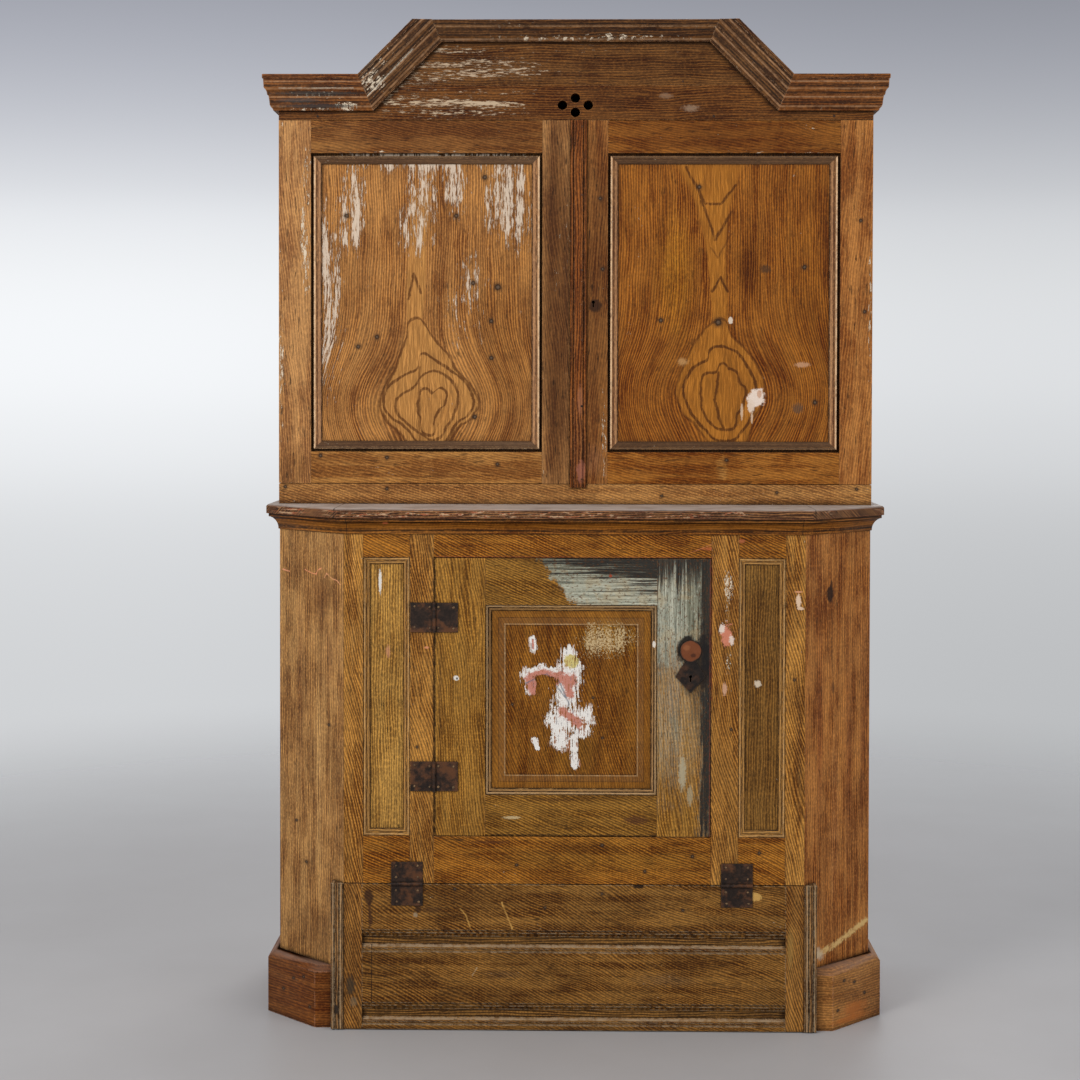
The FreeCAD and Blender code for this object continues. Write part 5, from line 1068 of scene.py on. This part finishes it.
paintedWood(
    "Lower door panel paint", ["lower_door_panel"], seed=44.0, mean=(117, 67, 13), slant=0.36, weave=0.45,
    wander=0.03, loss=0.2, lossGrain=1.2, lossColour=(200, 174, 130),
    lossSpots=[(70, 826, 130, 74, 1.0), (-100, 500, 30, 400, 0.3)], paint=flakedPatch, pale=0.5, dark=0.5,
    broad=1.3,
    blots=[(75, 836, 100, 50, 0.9, 0.8, (146, 96, 36), 0.7), (-4, 600, 80, 70, 0.8, 0.9, (92, 54, 16), 0.5)],
    nails=[(40, 705), (-130, 690), (60, 620)], nailSize=3.2)
print("lower front painted")

flapBlots = [
    (-432, 283, 12, 20, 0.45, 0.8, (50, 30, 20), 0.85), (-328, 262, 9, 18, 0.5, 1.2, (50, 32, 20), 0.8),
    (-333, 245, 6, 6, 0.4, 1.4, (150, 130, 104), 0.8), (-300, 256, 30, 10, 0.6, 1.6, (70, 44, 24), 0.5),
    (380, 287, 18, 10, 0.3, 1.4, (204, 160, 88), 0.85), (137, 309, 14, 6, 0.3, 1.2, (28, 18, 12), 0.9),
    (-470, 95, 13, 26, 0.6, 1.2, (58, 50, 38), 0.8), (-464, 60, 10, 14, 0.6, 1.2, (120, 104, 80), 0.5),
    (-150, 120, 60, 14, 0.8, 1.6, (66, 44, 26), 0.45), (200, 110, 90, 20, 0.8, 1.6, (66, 46, 30), 0.4)]
flapLines = [([(-430, 268), (-428, 222)], 5.0, (58, 34, 22), 0.8),
             ([(-426, 180), (-426, 58)], 1.6, (36, 22, 14), 0.85),
             ([(-239, 259), (-227, 245), (-218, 220)], 2.2, (196, 148, 76), 0.7),
             ([(-151, 272), (-143, 251), (-129, 217)], 2.4, (200, 152, 80), 0.75),
             ([(-213, 118), (-203, 134)], 1.6, (196, 172, 136), 0.7)]
# painted shade in the flap rail's grooves and painted highlights on its lips, as (height, half width, colour,
# strength) in millimetres, then the same lower down
flapSection = [(212, 2.2, (30, 20, 12), 0.8), (205.5, 2.0, (34, 22, 12), 0.8),
               (178, 2.8, (172, 148, 118), 0.75), (172.8, 1.8, (50, 36, 24), 0.75),
               (167.5, 2.2, (156, 130, 98), 0.55)]
flapBands = [(at + rise, *rest) for rise in (0, -154.5) for at, *rest in flapSection]
paintedWood(
    "Flap rail paint", ["flap_rails"], seed=51.0, space="level", mean=(111, 70, 26), slant=0.45, weave=0.4,
    wander=0.08, spread=1.25, broad=1.4, pale=0.6, dark=0.6, reach=0.01, wear=0.9, wearWidth=0.003,
    wearColour=(172, 146, 114), loss=0.26, blots=flapBlots,
    nails=[(-250, 300), (60, 292), (230, 258), (-60, 262)], nailSize=3.6, lines=flapLines, bands=flapBands)
paintedWood(
    "Flap stile paint", ["flap_stiles"], seed=52.0, mean=(126, 81, 34), wander=0.06, slant=0.4, pale=0.6,
    dark=0.6, wear=0.8,
    blots=flapBlots[:1] + flapBlots[6:8] + [(456, 180, 10, 60, 0.7, 1.2, (150, 116, 60), 0.6)],
    lines=flapLines[:1], loss=0.24)
paintedWood(
    "Flap slat paint", ["flap_slats"], seed=53.0, space="level", mean=(104, 68, 30), weave=0.4, reach=0.016)
paintedWood(
    "Corner strip paint", ["corner_strips"], seed=54.0, mean=(106, 73, 44), wear=1.0, mirrored=True,
    # painted shade in the strip's grooves and painted highlights on its beads
    bands=[(487, 1.8, (40, 26, 14), 0.8), (491, 2.0, (190, 160, 122), 0.5), (495, 1.8, (46, 30, 16), 0.8),
           (503, 1.8, (46, 30, 16), 0.8), (507, 2.2, (196, 166, 128), 0.5), (511, 1.6, (40, 26, 14), 0.8)],
    loss=0.34, reach=0.008, wearColour=(186, 162, 130),
    blots=[(-500, 44, 5, 12, 0.4, 0.8, (40, 34, 30), 0.9)])
for hand, side, seed in (("left", -1, 55.0), ("right", 1, 56.0)):
    paintedWood(
        "%s plinth paint" % hand.title(), ["%s_plinth" % hand], seed=seed, space="around",
        mean=(112, 58, 18) if side < 0 else (150, 96, 46), pale=0.2, dark=0.35, ticks=0.5, wear=0.7,
        wearWidth=0.004, loss=0.2, wearColour=(190, 136, 104), paint=paleTops((156, 128, 112), 0.6),
        nails=[(side * 600, 90), (side * 560, 40), (side * 625, 60), (side * 575, 100)], nailSize=3.4,
        blots=[(600, 34, 40, 22, 0.7, 1.2, (182, 104, 44), 0.7),
               (590, 15, 60, 10, 0.7, 1.0, (186, 104, 40), 0.6)] if side > 0 else [])
print("lower stage painted")


# bare wood inside and behind

def bareWood(name, nodeNames, space, tone, seed):
    material = newMaterial(name)
    place = output(add("TexCoord"), "Object")
    across, along = [between("DOT_PRODUCT", place, way) for way in spaces[space][:2]]
    grain = use(combedGrain, Across=across, Along=along * 0.5, Seed=seed, Pitch=0.006, Wander=0.03)
    dark = shifted(tone, 0.72)
    colour = paintOver(grain["Streak"] * 0.7, shifted(tone, 1, (18, 18, 18)), dark)
    colour = paintOver(grain["Comb"] * 0.3, colour, shifted(tone, 0.5))
    board = add("TexWhiteNoise", {"W": calc("FLOOR", across * 4.9)}, noise_dimensions="1D")
    colour = paintOver(output(board, "Value") * 0.25, colour, dark)
    # painted shade where faces meet
    colour = paintOver(use(creviceShade, Reach=0.05)["Mask"] * 0.6, colour, bareTones["paintedShade"])
    rough = timesPlus(grain["Mottle"], 0.15, 0.66)
    finishMaterial(colour, rough, grain["Height"] * -1.0, 0.35, 0.001)
    wear(nodeNames, material)


bareWood("Bare back boards", ["lower_back_boards", "upper_back_boards"], "upright", (150, 116, 78), 61.0)
bareWood("Bare shelves", ["base_floor", "cupboard_floor", "lower_shelf", "upper_floor", "upper_shelves",
                          "upper_top_board"], "level", (158, 124, 84), 62.0)
bareWood("Bare battens", ["floor_bearers", "shelf_battens"], "deep", (146, 112, 74), 63.0)


# iron

def rustyIron(name, nodeNames, tone=(60, 44, 35), rust=(110, 66, 34), amount=0.6, seed=0.0, stains=()):
    material = newMaterial(name)
    place = output(add("TexCoord"), "Object")
    moved = between("ADD", place, (seed, 0, 0))
    scale = noise(moved, 110, 6, 0.7)
    bloom = noise(moved, 34, 4, 0.6)
    colour = paintOver(smooth(scale, 0.4, 0.68), shifted(tone, 0.6), rgb(*tone))
    rusty = smooth(bloom, 0.44, 0.62) * amount
    colour = paintOver(rusty, colour, rgb(*rust))
    colour = spots(place, stains, colour)
    colour = paintOver(use(wornArris, Width=0.0012)["Mask"] * 0.35, colour, rgb(112, 96, 84))
    # painted shade in the iron's corners and creases
    colour = paintOver(use(creviceShade, Reach=0.006)["Mask"] * 0.8, colour, rgb(20, 14, 10))
    rough = smooth(scale, 0.3, 0.7, 0.42, 0.78)
    metallic = smooth(rusty, 0.4, 0.0, 0.05, 0.25)
    finishMaterial(colour, rough, scale + bloom * 0.5, 0.5, 0.0012, metallic, specular=0.25)
    wear(nodeNames, material)
    return material


ironLook = rustyIron("Surface hinge iron",
                     ["lower_case_hinge_leaves", "lower_door_hinge_leaves", "flap_hinge_leaves",
                      "hinge_pins"])
nailLook = rustyIron("Nail iron", [], (150, 118, 84), (84, 54, 34), amount=0.45, seed=9.0)
rustyIron("Butt hinge iron",
          ["upper_case_hinge_leaves", "upper_left_hinge_leaves", "upper_right_hinge_leaves"], (66, 54, 44),
          amount=0.35, seed=3.0)
rustyIron("Lock iron", ["upper_lock_case", "upper_lock_bolt", "lower_lock_case", "lower_lock_bolt"],
          (70, 64, 58), amount=0.25, seed=5.0)
rustyIron("Escutcheon iron", ["escutcheon"], (48, 38, 32), amount=0.3, seed=7.0,
          stains=[(244.5, 805, 23, 23, 0.15, 0.3, (120, 66, 36), 0.95),
                  (236, 812, 10, 8, 0.6, 0.8, (150, 92, 56), 0.7),
                  (250, 796, 8, 6, 0.6, 0.8, (66, 34, 20), 0.8)])
print("iron finished")


# softened arrises on every wooden and iron solid

softening = {"wood": 0.0011, "iron": 0.0005, "segments": 2, "weld": 0.00002, "flat": 1.0, "sharp": 32}


def soften():
    slots = {entry["node"]: entry["material_slot"] for entry in frame["record"]["subparts"]}
    for name, thing in nodes.items():
        width = softening["iron" if slots.get(name) == "iron" else "wood"]
        for label, kind, settings in (
                ("Joined corners", "WELD", {"merge_threshold": softening["weld"]}),
                ("Whole faces", "DECIMATE", {"decimate_type": "DISSOLVE",
                                             "angle_limit": math.radians(softening["flat"])}),
                ("Soft arris", "BEVEL", {"width": width, "segments": softening["segments"],
                                         "limit_method": "ANGLE", "use_clamp_overlap": True,
                                         "angle_limit": math.radians(softening["sharp"])}),
                ("Face shading", "WEIGHTED_NORMAL", {"keep_sharp": False, "weight": 60})):
            modifier = thing.modifiers.new(label, kind)
            for key, value in settings.items():
                setattr(modifier, key, value)


soften()
print("arrises softened")


def newPiece(name, mesh, material):
    # a new object from a bmesh
    data = bpy.data.meshes.new(name)
    mesh.to_mesh(data)
    mesh.free()
    piece = bpy.data.objects.new(name, data)
    scene.collection.objects.link(piece)
    piece.data.materials.append(material)
    return piece


# in metres
tongues = {"gapLow": 0.0004, "gapHigh": 0.0016, "lap": 0.0004, "short": 0.001, "inward": 0.004,
           "thick": 0.004}


def makeTongues(name, boards):
    # loose tongues close the gaps between the back boards
    corners = [vertex.co for vertex in boards.data.vertices]
    levels = sorted({round(corner.x, 5) for corner in corners})
    low, high = min(corner.z for corner in corners), max(corner.z for corner in corners)
    front = min(corner.y for corner in corners) + tongues["inward"]
    tall, thick = high - low - tongues["short"], tongues["thick"]
    mesh = bmesh.new()
    for left, right in zip(levels, levels[1:]):
        if tongues["gapLow"] < right - left < tongues["gapHigh"]:
            made = bmesh.ops.create_cube(mesh, size=1.0)["verts"]
            bmesh.ops.scale(mesh, verts=made, vec=(right - left + tongues["lap"], thick, tall))
            bmesh.ops.translate(mesh, verts=made,
                                vec=((left + right) / 2, front + thick / 2, (low + high) / 2))
    piece = newPiece(name, mesh, boards.data.materials[0])
    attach(piece, "case")


makeTongues("lower_back_tongues", nodes["lower_back_boards"])
makeTongues("upper_back_tongues", nodes["upper_back_boards"])


# nails

# rings are (share of the radius, share of the height), from the wood to the top
nailShape = {"sides": 10, "rings": [(1.0, -0.15), (1.0, 0.35), (0.78, 0.8), (0.4, 1.0)], "uneven": 0.15,
             "lean": 0.25, "oval": 0.08, "rough": 0.04}


def nailHeads(name, places, radius, tall, body, material, seed):
    # hammered heads: low, slightly out of round domes that face the front; places are in millimetres
    random.seed(seed)
    mesh = bmesh.new()
    outward = Vector((0, -1, 0))
    aside = outward.orthogonal().normalized()
    up = outward.cross(aside)
    sides, uneven, rough = nailShape["sides"], nailShape["uneven"], nailShape["rough"]
    for place in places:
        middle = Vector(place) / 1000
        size = radius * random.uniform(1 - uneven, 1 + uneven) / 1000
        lean = random.uniform(-nailShape["lean"], nailShape["lean"])
        turned = random.uniform(0, math.pi)
        loops = []
        for share, level in nailShape["rings"]:
            loop = []
            for index in range(sides):
                angle = turned + index * 2 * math.pi / sides
                oval = 1 + nailShape["oval"] * math.sin(2 * angle + seed) + random.uniform(-rough, rough)
                reach = size * share * oval
                lift = tall / 1000 * level * (1 + lean * math.cos(angle) * 0.5)
                loop.append(mesh.verts.new(middle + aside * reach * math.cos(angle)
                                           + up * reach * math.sin(angle) + outward * lift))
            loops.append(loop)
        for lower, upper in zip(loops, loops[1:]):
            for index in range(sides):
                following = (index + 1) % sides
                mesh.faces.new((lower[index], lower[following], upper[following], upper[index]))
        mesh.faces.new(loops[-1])
        mesh.faces.new(loops[0][::-1])
    mesh.normal_update()
    piece = newPiece(name, mesh, material)
    for polygon in piece.data.polygons:
        polygon.use_smooth = True
    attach(piece, body)


# places and lengths in millimetres
hingeNails = {"face": -249.5, "radius": 2.6, "tall": 1.3, "doorPin": -294.25, "doorLow": (507.5, 842.5),
              "flapPin": 311.25, "flapMiddles": (-351, 343)}
caseNails, doorNails, flapNails = [], [], []
for low in hingeNails["doorLow"]:
    for z in (low + 9, low + 53):
        for away, shift in ((9, 0), (41, 1)):
            pin, face = hingeNails["doorPin"], hingeNails["face"]
            caseNails.append((pin - away, face, z + 1.5 * shift))
            doorNails.append((pin + away, face, z - 1.0 * shift))
for middle in hingeNails["flapMiddles"]:
    for away in (-23, 23):
        for drop, shift in ((14, 0), (38, 2)):
            caseNails.append((middle + away, hingeNails["face"], hingeNails["flapPin"] + drop))
            flapNails.append((middle + away + shift, hingeNails["face"], hingeNails["flapPin"] - drop))
for name, places, body, seed in (("case", caseNails, "case", 1), ("door", doorNails, "lower_door", 2),
                                 ("flap", flapNails, "base_flap", 3)):
    nailHeads("hinge_nails_" + name, places, hingeNails["radius"], hingeNails["tall"], body, nailLook, seed)
stripNails = [(15.3, -89.0, z) for z in (1923, 1775, 1612, 1461, 1317, 1158)]
nailHeads("strip_nails", stripNails, 2.4, 0.9, "upper_right_door", ironLook, 4)
friezeNails = [(x, -82, 2021) for x in (0, 233, 418)] + [(x, -82, 1946) for x in (-560, -300, 300, 560)]
nailHeads("frieze_nails", friezeNails, 2.6, 0.8, "case", ironLook, 5)
print("nails driven")


# floor, light and camera

def blended(factor, below, above, ending):
    # two shaders mixed into the tree's output
    mixed = add("MixShader", {"Fac": factor})
    give(mixed.inputs[1], output(below))
    give(mixed.inputs[2], output(above))
    add(ending, {"Surface": output(mixed)})


floorSet = {"half": 14.0, "fadeFrom": 1.3, "fadeTo": 4.6}


def makeFloor():
    material = newMaterial("Studio floor")
    place = output(add("TexCoord"), "Object")
    colour = paintOver(noise(place, 3, 6, 0.6), rgb(176, 173, 172), rgb(186, 184, 184))
    shader = add("BsdfPrincipled", {"Base Color": colour, "Roughness": 0.5})
    clear = add("BsdfTransparent")
    fade = smooth(between("LENGTH", place), floorSet["fadeFrom"], floorSet["fadeTo"])
    blended(fade, shader, clear, "OutputMaterial")
    mesh = bmesh.new()
    mesh.faces.new([mesh.verts.new((x * floorSet["half"], y * floorSet["half"], 0))
                    for x, y in ((-1, -1), (1, -1), (1, 1), (-1, 1))])
    floor = newPiece("studio_floor", mesh, material)


# steps are (height of the view's direction, grey 0-255)
backdrop = {"light": 0.55, "steps": [(-0.20, 212), (-0.08, 221), (-0.02, 242), (0.02, 250), (0.07, 242),
                                     (0.105, 222), (0.144, 198), (0.20, 168)]}


def makeWorld():
    # a backdrop with painted light and shade: brightest at eye level and darker to the right, seen by the
    # camera and in gloss; the light itself is even
    world = bpy.data.worlds.new("Studio")
    scene.world = world
    world.use_nodes = True
    current["tree"] = world.node_tree
    world.node_tree.nodes.clear()
    way = split(output(add("TexCoord"), "Generated"))
    rise = timesPlus(way["Z"], 2.5, 0.5, clamp=True)
    bright = curve(rise, [(z * 2.5 + 0.5, rgb(tone, tone, tone)[0]) for z, tone in backdrop["steps"]])
    # painted shade: the backdrop darkens towards the right
    bright = bright * smooth(way["X"], -0.24, 0.24, 1.0, 0.80)
    tint = paintOver(smooth(way["Z"], 0.05, 0.20), (0.955, 0.975, 1.0, 1.0), (0.85, 0.88, 1.0, 1.0))
    shade = paintOver(bright, (0.0, 0.0, 0.0, 1.0), tint)
    shown = add("Background", {"Color": shade, "Strength": 1.0})
    lit = add("Background", {"Color": (0.93, 0.96, 1.0, 1.0), "Strength": backdrop["light"]})
    rays = outputs(add("LightPath"))
    seen = most(rays["Is Camera Ray"], most(rays["Is Glossy Ray"], rays["Is Transmission Ray"]))
    blended(seen, lit, shown, "OutputWorld")


lamps = {
    "key": {"place": (-2.6, -3.4, 3.1), "size": 1.9, "power": 105, "tone": (1.0, 0.985, 0.96)},
    "fill": {"place": (3.2, -2.8, 2.0), "size": 2.4, "power": 42, "tone": (0.97, 0.98, 1.0)},
    "back": {"place": (0.6, 3.0, 3.0), "size": 2.0, "power": 40, "tone": (1.0, 1.0, 1.0)},
}


def makeLamps():
    for name, lamp in lamps.items():
        data = bpy.data.lights.new(name, "AREA")
        data.shape = "DISK"
        data.size = lamp["size"]
        data.energy = lamp["power"]
        data.color = lamp["tone"]
        thing = bpy.data.objects.new(name, data)
        thing.location = lamp["place"]
        aim = Vector((0, 0, 1.0)) - Vector(lamp["place"])
        thing.rotation_euler = aim.to_track_quat("-Z", "Y").to_euler()
        scene.collection.objects.link(thing)


# angles in degrees; the focal length is given in pixels of a frame that is 1080 wide
cameraSet = {"place": (0.0, -4.4996, 1.3465), "down": 1.2, "left": 0.977, "roll": 0.116, "sensor": 36,
             "focal": 2030 / 1080 * 36, "rise": -0.0972}


def makeCamera():
    data = bpy.data.cameras.new("Camera")
    data.sensor_width = cameraSet["sensor"]
    data.lens = cameraSet["focal"]
    data.shift_y = cameraSet["rise"]
    data.dof.use_dof = False
    camera = bpy.data.objects.new("Camera", data)
    turn = (Matrix.Rotation(math.radians(cameraSet["left"]), 4, "Z")
            @ Matrix.Rotation(math.radians(90 - cameraSet["down"]), 4, "X")
            @ Matrix.Rotation(math.radians(cameraSet["roll"]), 4, "Z"))
    camera.matrix_world = Matrix.Translation(cameraSet["place"]) @ turn
    scene.collection.objects.link(camera)
    scene.camera = camera


makeFloor()
makeWorld()
makeLamps()
makeCamera()
scene.view_settings.view_transform = "Standard"
print("studio ready")
